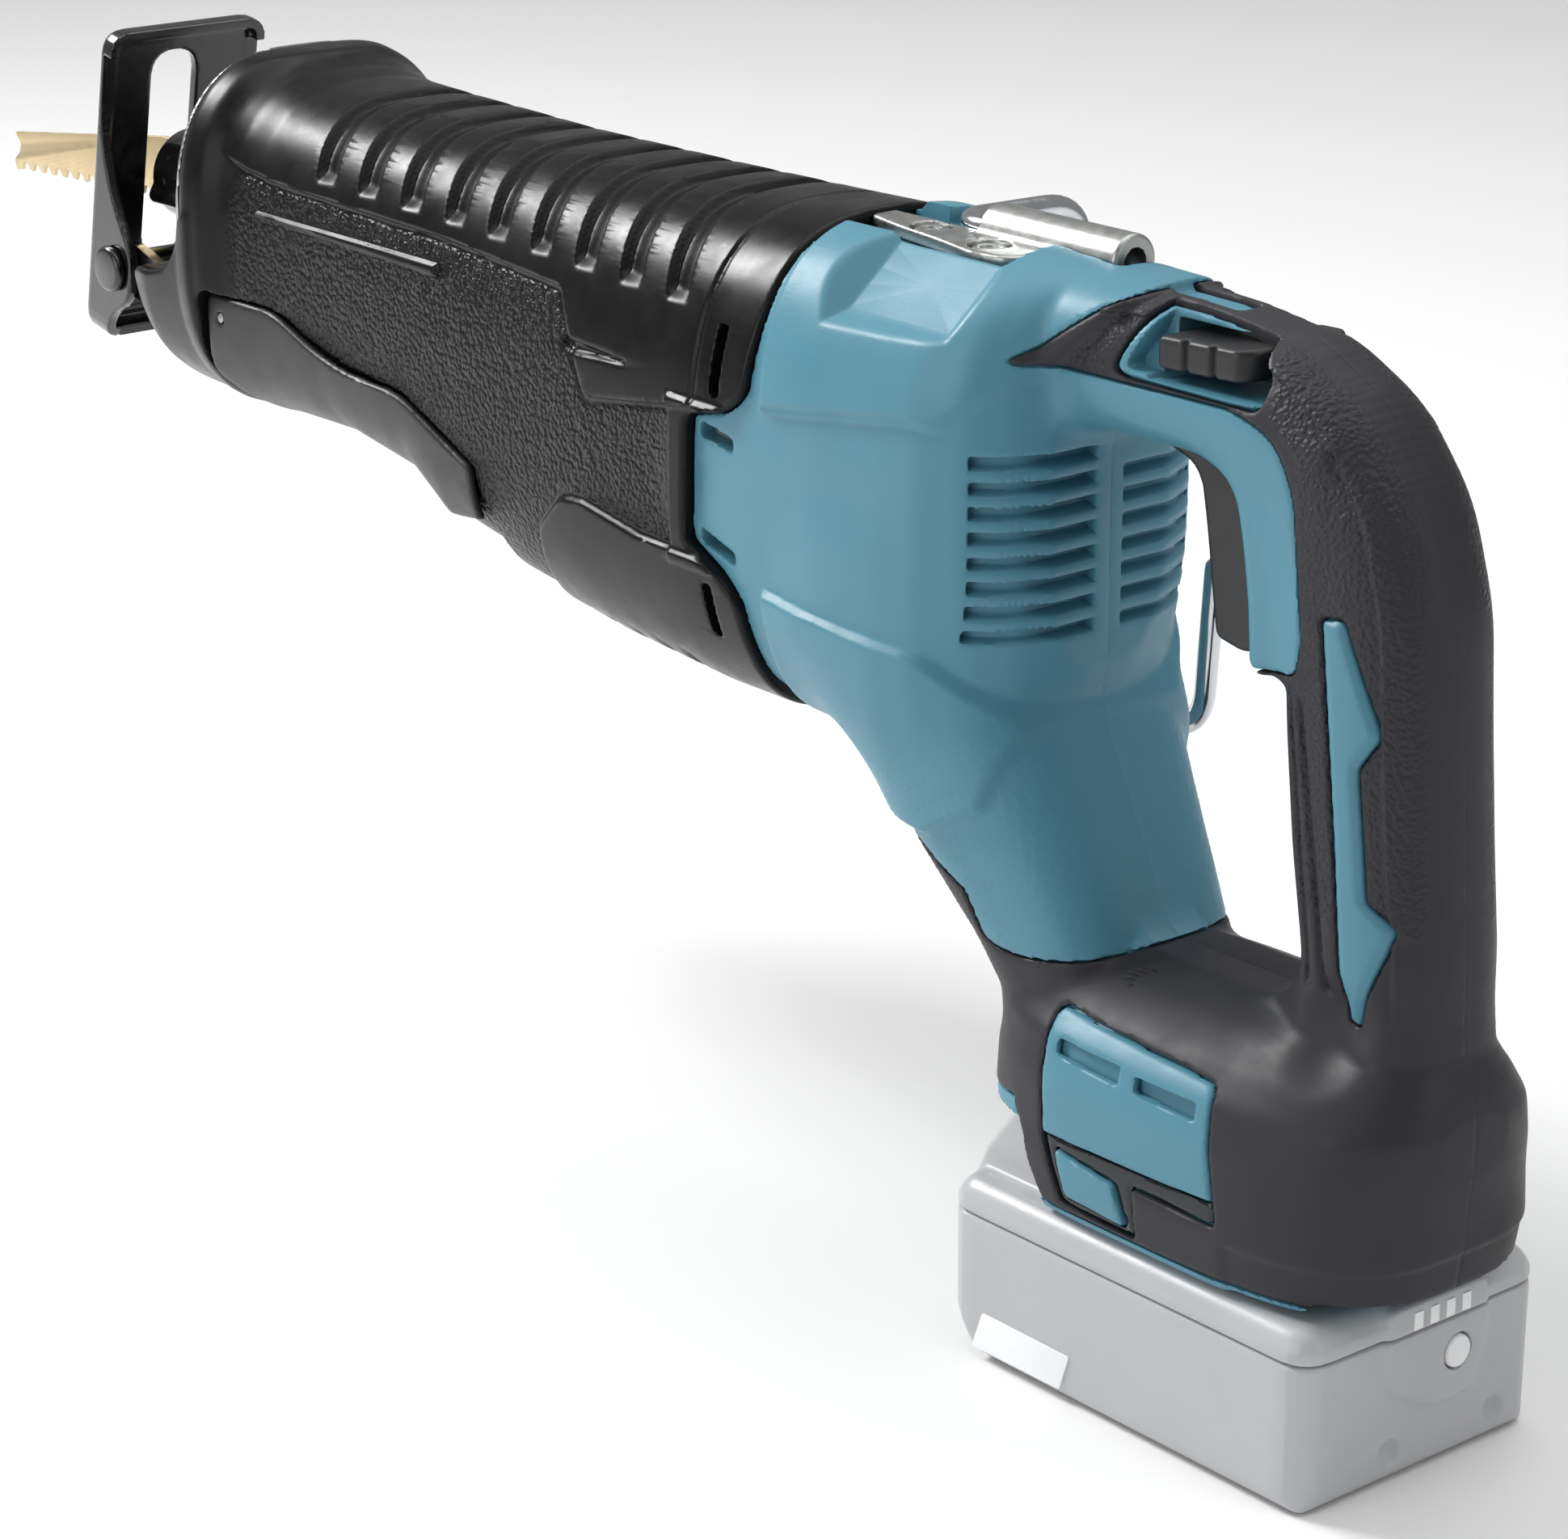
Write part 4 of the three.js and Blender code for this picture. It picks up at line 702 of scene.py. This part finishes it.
def overmould(name, mirror):
    """The soft grip: a skin over the handle and foot, a hair proud of the plastic, with rounded edges."""
    crease = 0.9 * ramp(handle_side, 12.6, 13.4) * ramp(half.z, 104, 122)
    ribs = 0
    for x_low, x_high in ((32.8, 23.4), (38.2, 27.8)):
        line = half.x - x_low - (x_high - x_low) * (half.z - 112) / 58
        ribs = ribs + np.exp(-(line / 0.9) ** 2)
    ribs = 1.5 * ribs * ramp(half.z, 109, 112) * ramp(-half.z, -172.5, -170) * ramp(np.abs(half.y), 6, 9)
    surface = whole - 0.35 - crease + ribs
    shape = blend_max(surface, rubber_zone + 0.25, 1.0)
    rooms = [front_rim, battery_room, -(whole + 2.1), trigger_room, boot_region]
    if mirror:
        rooms += screw_rooms
    shape = most(cut(shape, *rooms[:2], *rooms[3:]), rooms[2])
    grip = moulding(name, shape, half, "grip_rubber", mirror=mirror, faces=150000)
    mark(grip, "grain", grip_grain)
    return grip


overmould("left_overmould", False)
overmould("right_overmould", True)


def skin_plate(zone, proud, thick=1.8):
    """A plate that follows the body's surface."""
    return most(blend_max(whole - proud, zone + 0.2, 0.9), -(whole + thick))


AIR_SLOTS = least(
    outline([(-24.9, 84.2, 0.6), (-4.4, 83.9, 0.6), (-4.1, 79.9, 0.6), (-24.3, 80.6, 0.6)], *side),
    outline([(0.3, 83.3, 0.6), (18.8, 83.1, 0.6), (19.3, 79.4, 0.6), (1.1, 79.8, 0.6)], *side),
)
for prefix, flipped in (("left", False), ("right", True)):
    inlay = skin_plate(arrow, 0.35 + 0.6 * ramp(-arrow, 1.0, 1.7))
    panel = cut(skin_plate(foot_panel, 0.45), AIR_SLOTS)
    strip = cut(skin_plate(foot_strip, -0.5, 2.0), foot_badge - 0.3)
    badge = skin_plate(foot_badge, 0.7)
    moulding(prefix + "_handle_inlay", inlay, half, "teal_plastic", mirror=flipped, faces=12000)
    moulding(prefix + "_foot_panel", panel, half, "teal_plastic", mirror=flipped, faces=14000)
    moulding(prefix + "_foot_strip", strip, half, "gloss_plastic", mirror=flipped, faces=8000)
    moulding(prefix + "_foot_badge", badge, half, "teal_plastic", mirror=flipped, faces=6000)

# ---- front boot and shoe release lever
BOOT_FORM = [
    (-359, 159.5, 255.4, 41), (-355, 159, 256.2, 42), (-349, 159.6, 255.4, 41.2),
    (-343, 160.4, 252.4, 38.8), (-337, 162, 249.6, 37), (-328, 163, 248, 36), (-300, 163, 247, 36),
    (-268, 156, 246.3, 36.3), (-251, 143, 246, 36.8), (-232, 138, 246, 37.6), (-190, 133, 246, 39.3),
    (-150, 130.5, 246.4, 40.6), (-122, 130.5, 247, 41),
]
BOOT_UPPER = [
    (-350, 236), (-338, 229.5, 5), (-323, 227.2), (-248, 225), (-197, 222, 2), (-183.5, 198.5, 2),
    (-140, 204.6), (-100, 205), (-100, 280), (-350, 280),
]
BOOT_PAD = [
    (-214, 128), (-207.5, 160.5, 3), (-195, 171.5, 3), (-186, 172.4), (-164, 169), (-100, 168), (-100, 100),
    (-214, 100),
]
BOOT_GRAIN = [
    (-338, 227.6), (-323, 226), (-248, 223.6), (-198, 220.6), (-184.6, 197), (-151.6, 202), (-151.6, 169.6),
    (-164, 170.2), (-188, 173.6), (-196, 172.6), (-208.6, 161), (-215, 128), (-264, 128), (-236, 164),
    (-277, 181.4), (-306, 184), (-337, 193), (-346, 197), (-344, 214),
]
LEVER_FORM = [
    (-368, 155.5, 210, 38.6), (-343, 159.6, 212, 37.9), (-328, 160.6, 214, 37.2), (-300, 160.6, 216, 36.9),
    (-268, 155, 216, 37), (-251, 143, 216, 37.4), (-228, 139.2, 216, 38),
]
LEVER = [
    (-351.5, 193.8, 3), (-322, 193.4, 6), (-304, 186.6, 6), (-291, 183.6, 6), (-266, 182.4, 6),
    (-235, 170, 2), (-235, 156), (-275, 150), (-330, 158.5), (-344, 168.4), (-350.6, 172.6, 3),
]
GROOVES = 9
nose = Block((-394, -44, 126), (-119, 44, 260), STEP)
side = (nose.x, nose.z)
boot = level(nose, BOOT_FORM, 2.7, 2.2, 2.5)
boot = blend_max(boot, nose.z - 254.9 - 3 * ramp(nose.x, -350, -340), 2.5)

height = 1.5 * ramp(-outline(BOOT_UPPER, *side), -0.7, 0.7) * ramp(nose.x, -346, -334)
height = height + 1.6 * ramp(-outline(BOOT_PAD, *side), -0.9, 0.9)
collar = most(most(-150.8 - nose.x, nose.z - 206), 166 - nose.z)
height = height + 1.2 * ramp(-collar, -0.6, 0.6)


def rib_at(x, z):
    """A long thin rib that widens towards the rear."""
    return most(np.abs(z - 218.2 + 0.016 * (x + 328)) - 0.5 - 0.011 * (x + 328), np.abs(x + 289) - 40)


height = height + 1.2 * ramp(-rib_at(*side), -0.5, 0.4)
for i in range(GROOVES):
    start = -303 + 18.3 * i
    foot_of = 230.4 - 0.5 * i
    run = nose.x - start + 0.38 * (nose.z - foot_of)
    trough = ramp(run, -0.3, 0.7) * (1 - 0.4 * ramp(run, 1.0, 7.0)) * (1 - ramp(run, 7.2, 8.3))
    height = height - 2.3 * trough * ramp(nose.z - foot_of, -0.6, 2.6)
notch = most(np.abs(nose.z - 209.6) - 0.1 - 0.05 * (-168 - nose.x), np.abs(nose.x + 181) - 13)
height = height - 1.6 * ramp(-notch, -0.8, 0.5)
seam = np.abs(nose.x + 141.5) - 0.35
height = height - 0.6 * ramp(-seam, -0.7, 0.2) * ramp(nose.z, 203, 206)
for i in range(5):
    valley = np.abs(nose.x + 204 - 11 * i) - 1.2
    height = height - 1.3 * ramp(-valley, -1.6, 0.8) * ramp(-nose.z, -142, -134)
boot = boot - height
for z_low, z_high, x in ((208, 224.5, -134), (150, 163, -138)):
    slot = brick(nose, (x - 1.7, x + 1.7), (-60, 60), (z_low, z_high), 1.2)
    boot = cut(boot, most(slot, -(boot + 4)))

lip = level(nose, [(-389.5, 161, 251, 37.5), (-380, 160, 252, 40.2), (-352, 159, 254, 41.4)], 2.7, 3, 2.5)
LIP = [
    (-364, 145), (-373, 160, 6), (-384, 174, 9), (-389.6, 193.5, 2), (-385.5, 195.5, 3), (-374, 196, 6),
    (-364, 200.5, 7), (-359.2, 212, 3), (-354, 214), (-354, 145),
]
lip_side = outline(LIP, *side)
boot = blend_min(boot, blend_max(lip, lip_side, 2.0), 2.5)
boot_zone = blend_max(boot, outline(BOOT_REGION, *side), 1.6)

lever_form = level(nose, LEVER_FORM, 2.8, 4)
lever_side = outline(LEVER, *side)


def swung(points, degrees):
    """An outline turned about the lever's pivot, rear end down."""
    c, s = math.cos(math.radians(degrees)), math.sin(math.radians(degrees))
    px, pz = LEVER_PIVOT
    return [(px + (x - px) * c + (z - pz) * s, pz - (x - px) * s + (z - pz) * c, *rest)
            for x, z, *rest in points]


LEVER_SWING = 12  # degrees, one more than the joint allows
lever_sweep = least(lever_side, outline(swung(LEVER, LEVER_SWING / 2), *side))
lever_sweep = least(lever_sweep, outline(swung(LEVER, LEVER_SWING), *side))
under_lever = brick(nose, (-345, -231), (-60, 60), (90, 160))
lever_room = most(least(lever_sweep - 0.6, under_lever), -(lever_form + 3.2))
FRONT_PLATE = [(-36, 199, 3), (-33, 236, 8), (-18, 248, 6), (18, 248, 6), (33, 236, 8), (36, 199, 3)]
plate_mouth = most(outline(FRONT_PLATE, nose.y, nose.z) - 0.3, nose.x + 351.8)
mouth = least(brick(nose, (-420, -351.8), (-25.5, 25.5), (166, 240), 3), plate_mouth)
arm_room = brick(nose, (-420, -300), (-22.3, 22.3), (173.6, 196.5), 1)
bore = rod(nose, "x", 13.4, 0, AXIS_Z, high=-300)
pin_hole = rod(nose, "y", 1.5, *LEVER_PIVOT)
boot_zone = cut(boot_zone, mouth, arm_room, bore, lever_room)
boot_piece = moulding("front_boot", boot_zone, nose, "boot_rubber", faces=260000)
mark(boot_piece, "grain", lambda x, y, z: ramp(-outline(BOOT_GRAIN, x, z), -0.2, 1.2)
     * (1 - ramp(0.6 - rib_at(x, z), -0.3, 0.3)) * ramp(x, -343, -331))

lever = most(blend_max(lever_form, lever_side, 1.0), -(lever_form + 2.2))
moulding("release_lever", cut(lever, pin_hole), nose, "dark_plastic", "shoe_lever", faces=40000)

# The guard plate's pale edge shows all round the front of the boot.
rim = level(nose, [(-360.9, 159.8, 254.2, 40.4), (-359.4, 159.6, 254.6, 40.9)], 2.7, 1, 0.5)
rim = most(rim, 203.5 - nose.z)
front_face = outline(FRONT_PLATE, nose.y, nose.z)
guard_plate = least(rim, most(front_face, np.abs(nose.x + 356.4) - 4.4))
well = most(front_face + 2.4, nose.x + 357.4)
guard_plate = cut(guard_plate, well, most(front_face + 2.4, nose.z - 203.5), bore)
moulding("front_plate", guard_plate, nose, "cast_aluminium", faces=30000)
del nose, boot, lever_form, lever, guard_plate

# ---- shoe, blade and clamp
tilt = Matrix.Translation((SHOE_PIVOT[0] * MM, 0, SHOE_PIVOT[1] * MM)) @ Matrix.Rotation(SHOE_TILT, 4, "Y")
SHEET = 3.0
SHOE_FRONT = -14.0
sheet = Block((-15.4, -27, -25), (11, 27, 67), FINE)
face_plan = outline([(-25.3, -23, 7), (-25.3, 65, 7), (25.3, 65, 7), (25.3, -23, 7)], sheet.y, sheet.z)
slot_plan = outline([(-9, -3, 6.5), (-9, 57, 6.9), (5, 57, 6.9), (5, -3, 6.5)], sheet.y, sheet.z)
solid_box = blend_max(blend_max(face_plan, SHOE_FRONT - sheet.x, 3.0), sheet.x - 9, 1.0)
hollow = blend_max(face_plan + SHEET, SHOE_FRONT + SHEET - sheet.x, 2.4)
formed = most(solid_box, -hollow)
EAR = [
    (-17, 70), (-12.4, 70), (-11, 44, 8), (-9.6, 32, 10), (0, 15, 9), (8.6, 7, 6), (8.6, -8, 6),
    (1, -13, 4), (-5, -26), (-17, -26),
]
ear_plan = outline(EAR, sheet.x, sheet.z)
tabs = most(ear_plan, 20 - np.abs(sheet.y))
lips = least(most(sheet.z + 17, sheet.x + 4), most(58 - sheet.z, sheet.x + 7.5))
keep = least(least(tabs, lips), sheet.x - SHOE_FRONT - 3.1)
shoe = most(formed, keep)
shoe = cut(shoe, slot_plan, rod(sheet, "y", 4.3, 0, 0))
moulding("shoe_plate", shoe + 0.15, sheet, "black_steel", "shoe", faces=40000, turn=tilt)

rivet = [(0, 27.9), (5.4, 27.9), (6.3, 27.2), (6.4, 25.6), (4.1, 25.5)]
rivet = [(radius, -y) for radius, y in rivet] + rivet[::-1]
turned("shoe_rivet", rivet, "y", (SHOE_PIVOT[0], 0, SHOE_PIVOT[1]), "black_steel", "shoe_carriage")

TOOTH_PITCH = 6.1
BLADE_X = -130.4
blade = [(-285.9, 8.2), (-300, 8.2), (-381.4, -2.4), (-378.4, -5.6, 0.8), (-379.6, -8.4, 0.8),
         (-382.4, -10.4, 0.8), (-381.6, -13.6, 0.6)]
for i in range(12):
    x, low = -378.6 + i * TOOTH_PITCH, -13.2 + i * 0.3
    blade += [(x, low), (x + 1.2, low + 2.7, 0.4), (x + 3.2, low + 2.5, 0.5), (x + 4.9, low + 0.5, 0.4)]
blade += [(-300.5, -9.6), (-285.9, -9.6)]
blade = [(x + BLADE_X, z + AXIS_Z, *rest) for x, z, *rest in blade]
plate("blade", blade, -0.6, 0.6, "blade_steel", "blade_carrier", bevel=0.16)

collar_block = Block((-419, -16.5, 195), (-381, 14.5, 227), FINE)
angle = np.arctan2(collar_block.z - AXIS_Z, collar_block.y)
reach = np.hypot(collar_block.y, collar_block.z - AXIS_Z)
flutes = 0.35 * ramp(np.cos(angle * 12), 0.2, 0.9) * ramp(-np.abs(collar_block.x + 399), -13, -11)
sleeve = blend_max(reach - 12.7 + flutes, np.abs(collar_block.x + 400.6) - 17.1, 2.4)
lug = np.hypot(collar_block.y + 11.8, collar_block.z - AXIS_Z + 4.6) - 2.3
lug = blend_max(lug, np.abs(collar_block.x + 408.0) - 9.3, 1.4)
sleeve = cut(blend_min(sleeve, lug, 1.6), most(reach - 9.8, -500 - collar_block.x))
moulding("clamp_sleeve", sleeve, collar_block, "black_steel", "clamp_collar", faces=24000)

# ---- trigger and lock-off lever
trigger_block = Block((-29, -10, 172), (17, 10, 224), FINE)
TRIGGER = [
    (-26, 218.6, 1), (-21.5, 214.4, 3), (-11.6, 211.6, 5), (-9, 200, 8), (-7.2, 187, 8), (-5.2, 175.6, 2),
    (3, 174, 2), (9, 176, 2), (12.6, 196, 3), (8, 213, 4), (-4, 219.6, 2), (-20, 221, 2),
]
trigger = blend_max(outline(TRIGGER, trigger_block.x, trigger_block.z), np.abs(trigger_block.y) - 9, 2.0)
moulding("trigger", trigger, trigger_block, "dark_plastic", "trigger", faces=16000)

lock_block = Block((-20, -20, 229), (16, 20, 243), FINE)
lock = outline([(-17.5, 240.2, 2), (8.8, 241, 2), (8.8, 234, 2), (-17.5, 232.8, 2)],
               lock_block.x, lock_block.z)
ridges = sum(np.exp(-((lock_block.x - x) / 0.7) ** 2) for x in (-9.3, -1.2))
bulge = 16.2 - 0.22 * most(lock_block.x - 4.5, 0) ** 2 - 1.4 * ridges
lock = blend_max(lock, np.abs(lock_block.y) - bulge, 1.6)
moulding("lock_off_lever", lock, lock_block, "dark_plastic", "lock_off", faces=20000)

# ---- rafter hook
HOOK_BOLTS = ((-103, -3), (-80, -6.5))
bracket_block = Block((-123.5, -16, 239.5), (-43, 14, 255.5), FINE)
HOOK_PLATE = [
    (-121.6, -5, 2), (-108, -8.2, 4), (-93, -10.6, 4), (-77, -14.4, 4), (-68, -12.6, 3), (-64.5, -3, 2),
    (-66, 4, 1), (-90, 5), (-112, 6, 2), (-121.6, 5, 3),
]
bracket = outline(HOOK_PLATE, bracket_block.x, bracket_block.y)
bracket = blend_max(bracket, np.abs(bracket_block.z - 245.9) - 1.6, 0.9)
for x, y in HOOK_BOLTS:
    bracket = cut(bracket, blend_max(rod(bracket_block, "z", 5.0, x, y), 245.2 - bracket_block.z, 0.5))
tube = np.hypot(bracket_block.y - HOOK_AXIS[0], bracket_block.z - HOOK_AXIS[1]) - 6.3
tube = blend_max(tube, np.abs(bracket_block.x + 68.5) - 22, 0.9)
bracket = blend_min(bracket, tube, 2.0)
bend_room = brick(bracket_block, (-130, -90.3), (2.2, 20), (240, 260))
bracket = cut(bracket, rod(bracket_block, "x", 3.2, *HOOK_AXIS), bend_room)
moulding("hook_bracket", bracket, bracket_block, "cast_aluminium", faces=30000)


def bolt(name, at, axis, radius, height, look=None):
    """A domed screw head with a round socket."""
    profile = [(0, 0), (radius, 0), (radius, height * 0.55), (radius * 0.8, height), (radius * 0.52, height),
               (radius * 0.5, height * 0.45), (0, height * 0.4)]
    turned(name, profile, axis, at, "steel", sides=48, look=look)


for i, (x, y) in enumerate(HOOK_BOLTS):
    bolt(f"hook_bolt_{i + 1}", (x, y, 245.5), "z", 4.3, 1.5, FINISHES["cast_aluminium"])
for i, (x, z, seat) in enumerate(SCREWS):
    bolt(f"housing_screw_{i + 1}", (x, seat + 0.3, z), "y", 3.5, 2.6)
for sign, prefix in ((-1, "left"), (1, "right")):
    pin = ((0, 32.2), (1.4, 32.2), (1.4, 37.6), (1.1, 38.0), (0, 38.0))
    turned(prefix + "_lever_pin", [(radius, sign * y) for radius, y in pin], "y",
           (LEVER_PIVOT[0], 0, LEVER_PIVOT[1]), "steel", sides=24)

WIRE_RADIUS = 2.65
HOOK_SIDE = 39.6  # from the barrel out to the loop beside the body
WIRE = [
    (-52, 0, 0, 0), (-104, 0, 0, 9), (-105, HOOK_SIDE, -1, 12), (-104, HOOK_SIDE, -119, 11),
    (-61, HOOK_SIDE, -119, 11), (-58, HOOK_SIDE, -76, 0),
]


def wire(name, corners, radius, offset, slot, body, sides=20, arc=10):
    """A bent round wire with rounded ends."""
    line = []
    for i, corner in enumerate(corners):
        here, bend = Vector(corner[:3]), corner[3]
        if not bend:
            line.append(here)
            continue
        before = (Vector(corners[i - 1][:3]) - here).normalized() * bend
        after = (Vector(corners[i + 1][:3]) - here).normalized() * bend
        line += [here + before * (1 - t / arc) ** 2 + after * (t / arc) ** 2 for t in range(arc + 1)]
    line = [point + Vector(offset) for point in line]
    points, faces = [], []
    normal = Vector((0, 0, 1))
    stations = []
    for end, inner in ((0, 1), (-1, -2)):
        way = (line[end] - line[inner]).normalized()
        stations.append([(line[end] + way * radius * (math.sin(a) - 1), math.cos(a) * radius)
                         for a in (0.0, 0.5, 1.0, 1.35)])
    rings = stations[0][::-1] + [(point, radius) for point in line[1:-1]] + stations[1]
    for i, (point, size) in enumerate(rings):
        ahead = rings[min(i + 1, len(rings) - 1)][0] - rings[max(i - 1, 0)][0]
        way = ahead.normalized()
        normal = (normal - way * normal.dot(way)).normalized()
        other = way.cross(normal)
        for j in range(sides):
            a = 2 * math.pi * j / sides
            points.append(point + (normal * math.cos(a) + other * math.sin(a)) * size)
    for i in range(len(rings) - 1):
        for j in range(sides):
            k = (j + 1) % sides
            faces.append((i * sides + j, i * sides + k, (i + 1) * sides + k, (i + 1) * sides + j))
    mesh = bpy.data.meshes.new(name)
    last = (len(rings) - 1) * sides
    faces += [tuple(range(sides))[::-1], tuple(range(last, last + sides))]
    mesh.from_pydata([p * MM for p in points], [], faces)
    return placed(link(name, mesh), name, slot, body)


wire("rafter_hook", WIRE, WIRE_RADIUS, (0, *HOOK_AXIS), "chrome", "hook")

# ---- battery
pack = Block((-59, -39.5, -1.5), (60, 39.5, 63.5), STEP)
long, wide = BATTERY_HALF
plan = outline([(-long, -wide, 9), (long, -wide, 9), (long, wide, 9), (-long, wide, 9)], pack.x, pack.y)
profile = outline([(-long, 60), (-long, 14, 3), (-44, 0.0, 3), (long - 3, 0.0, 2), (long, 3, 2), (long, 60)],
                  pack.x, pack.z)
end_profile = outline([(-wide, 60), (-wide, 3, 2), (-wide + 3, 0, 2), (wide - 3, 0, 2), (wide, 3, 2),
                       (wide, 60)], pack.y, pack.z)
draft = 0.008 * np.abs(pack.z - BATTERY_SPLIT)
case = blend_max(blend_max(plan + draft, profile, 0.8), end_profile, 0.8)
shoulder = blend_max(case + 0.55 * most(pack.z - 38, 0), pack.z - 42.6, 3.5)
seam = 0.5 * np.exp(-((pack.z - BATTERY_SPLIT) / 0.5) ** 2)
gauge = outline([(-13, 24, 4), (-13, 42, 3), (18, 42, 3), (19, 30, 3), (15, 16, 4), (2, 15, 5)],
                pack.y, pack.z)
gauge = blend_max(blend_max(gauge, pack.x - long - 1.1, 1.6), 40 - pack.x, 1)
GAUGE_BUTTON = (9, 26.5)
button_room = rod(pack, "x", 4.3, *GAUGE_BUTTON, low=long - 1.0)
dimples = np.float32(1e3)
for y in (-10, 23):
    away = np.sqrt((pack.x - long - 3.2) ** 2 + (pack.y - y) ** 2 + (pack.z - 7.5) ** 2)
    dimples = least(dimples, away - 5)
low_case = blend_min(case, gauge, 2.0) + seam
low_case = cut(most(low_case, pack.z - BATTERY_SPLIT + 0.15), button_room, dimples)
moulding("battery_lower_case", low_case, pack, "pale_plastic", "battery", faces=50000)

block = outline([(-56, 38), (-54.5, 46, 3), (-43.5, 60.6, 4), (-36, 61.4, 3), (26.6, 61.4, 1), (26.6, 38)],
                pack.x, pack.z)
block = blend_max(block, np.abs(pack.y) - 27.8, 1.6)
rails = brick(pack, (-34, 60), (-40, -23.8), (48.5, 53)), brick(pack, (-34, 60), (23.8, 40), (48.5, 53))
terminal_slots = [brick(pack, (15, 28), (y - 1, y + 1), (50, 60)) for y in (-12, 0, 12)]
press_room = least(brick(pack, (-62, -49.5), (-13.4, 13.4), (36.5, 64)),
                   brick(pack, (-49.7, -42.4), (-13.4, 13.4), (50.2, 64)))
upper_case = blend_min(blend_min(shoulder, gauge, 2.0), block, 3.0) + seam
upper_case = most(upper_case, BATTERY_SPLIT + 0.15 - pack.z)
upper_case = cut(upper_case, *rails, *terminal_slots, press_room)
moulding("battery_upper_case", upper_case, pack, "pale_plastic", "battery", faces=60000)
latch_side = [(-56.4, 40, 1), (-55.2, 47.6, 2), (-49.9, 53.5, 1), (-49.9, 40)]
plate("battery_release_button", latch_side, -13, 13, "dark_plastic", "battery_latch", bevel=0.9)
turned("gauge_button", [(0, 55.7), (3.8, 55.7), (3.8, 57.6), (3.3, 58.1), (0, 58.2)], "x", (0, *GAUGE_BUTTON),
       "dark_plastic", "battery_gauge", sides=48, look=WHITE)
for i in range(4):
    y = -5.6 + i * 5.0
    plate(f"gauge_lamp_{i + 1}", [(y, 35.9), (y, 40), (y + 2.7, 40), (y + 2.7, 35.9)], long + 0.9,
          long + 1.35, "pale_plastic", "battery", 0.1, "end", WHITE, extra=True)
SIDE_MARK = [(-43.1, 12.1, 0.6), (-14.6, 11.9, 0.6), (-17.5, 2.9, 0.6), (-46.5, 2.8, 0.6)]
plate("battery_side_mark", SIDE_MARK, -wide - 0.02, -wide + 1.0, "pale_plastic", "battery", 0.08,
      look=WHITE, extra=True)

# ---- floor, light and camera
floor = link("floor", bpy.data.meshes.new("floor"))
floor.data.from_pydata([(-6, -6, 0), (6, -6, 0), (6, 6, 0), (-6, 6, 0)], [], [(0, 1, 2, 3)])
floor_finish = Finish("floor", (244, 244, 244), 0.6)
floor_finish.shader.inputs["Base Color"].default_value = floor_finish.colour
floor.data.materials.append(floor_finish.material)

world = bpy.data.worlds.new("studio")
world.use_nodes = True
world.node_tree.nodes["Background"].inputs["Color"].default_value = (1, 1, 1, 1)
world.node_tree.nodes["Background"].inputs["Strength"].default_value = 0.3
bpy.context.scene.world = world


def lamp(name, at, aim, size, power):
    light = bpy.data.lights.new(name, "AREA")
    light.shape = "RECTANGLE"
    light.size, light.size_y = size
    light.energy = power
    obj = link(name, light)
    obj.location = at
    obj.rotation_euler = (Vector(aim) - Vector(at)).to_track_quat("-Z", "Y").to_euler()


MIDDLE = (-0.2, 0, 0.15)
lamp("key", (-1.35, -0.5, 1.2), MIDDLE, (0.5, 0.5), 27)
lamp("fill", (-0.2, -1.7, 0.6), MIDDLE, (1.2, 1.0), 7)
lamp("top", (-0.1, 0.5, 2.4), MIDDLE, (3.2, 2.6), 40)
lamp("rear", (1.4, 0.5, 0.8), MIDDLE, (0.6, 1.0), 3)

camera = bpy.data.cameras.new("camera")
camera.lens = 100.8
camera.sensor_width = 36
camera.clip_end = 50
eye = link("camera", camera)
azimuth, elevation = math.radians(50.26), math.radians(19.02)
eye.location = (0.6200, -0.6471, 0.4524)
level_part = math.cos(elevation)
back = Vector((math.sin(azimuth) * level_part, -math.cos(azimuth) * level_part, math.sin(elevation)))
eye.rotation_euler = back.to_track_quat("Z", "Y").to_euler()
bpy.context.scene.camera = eye
bpy.context.scene.view_settings.view_transform = "Standard"
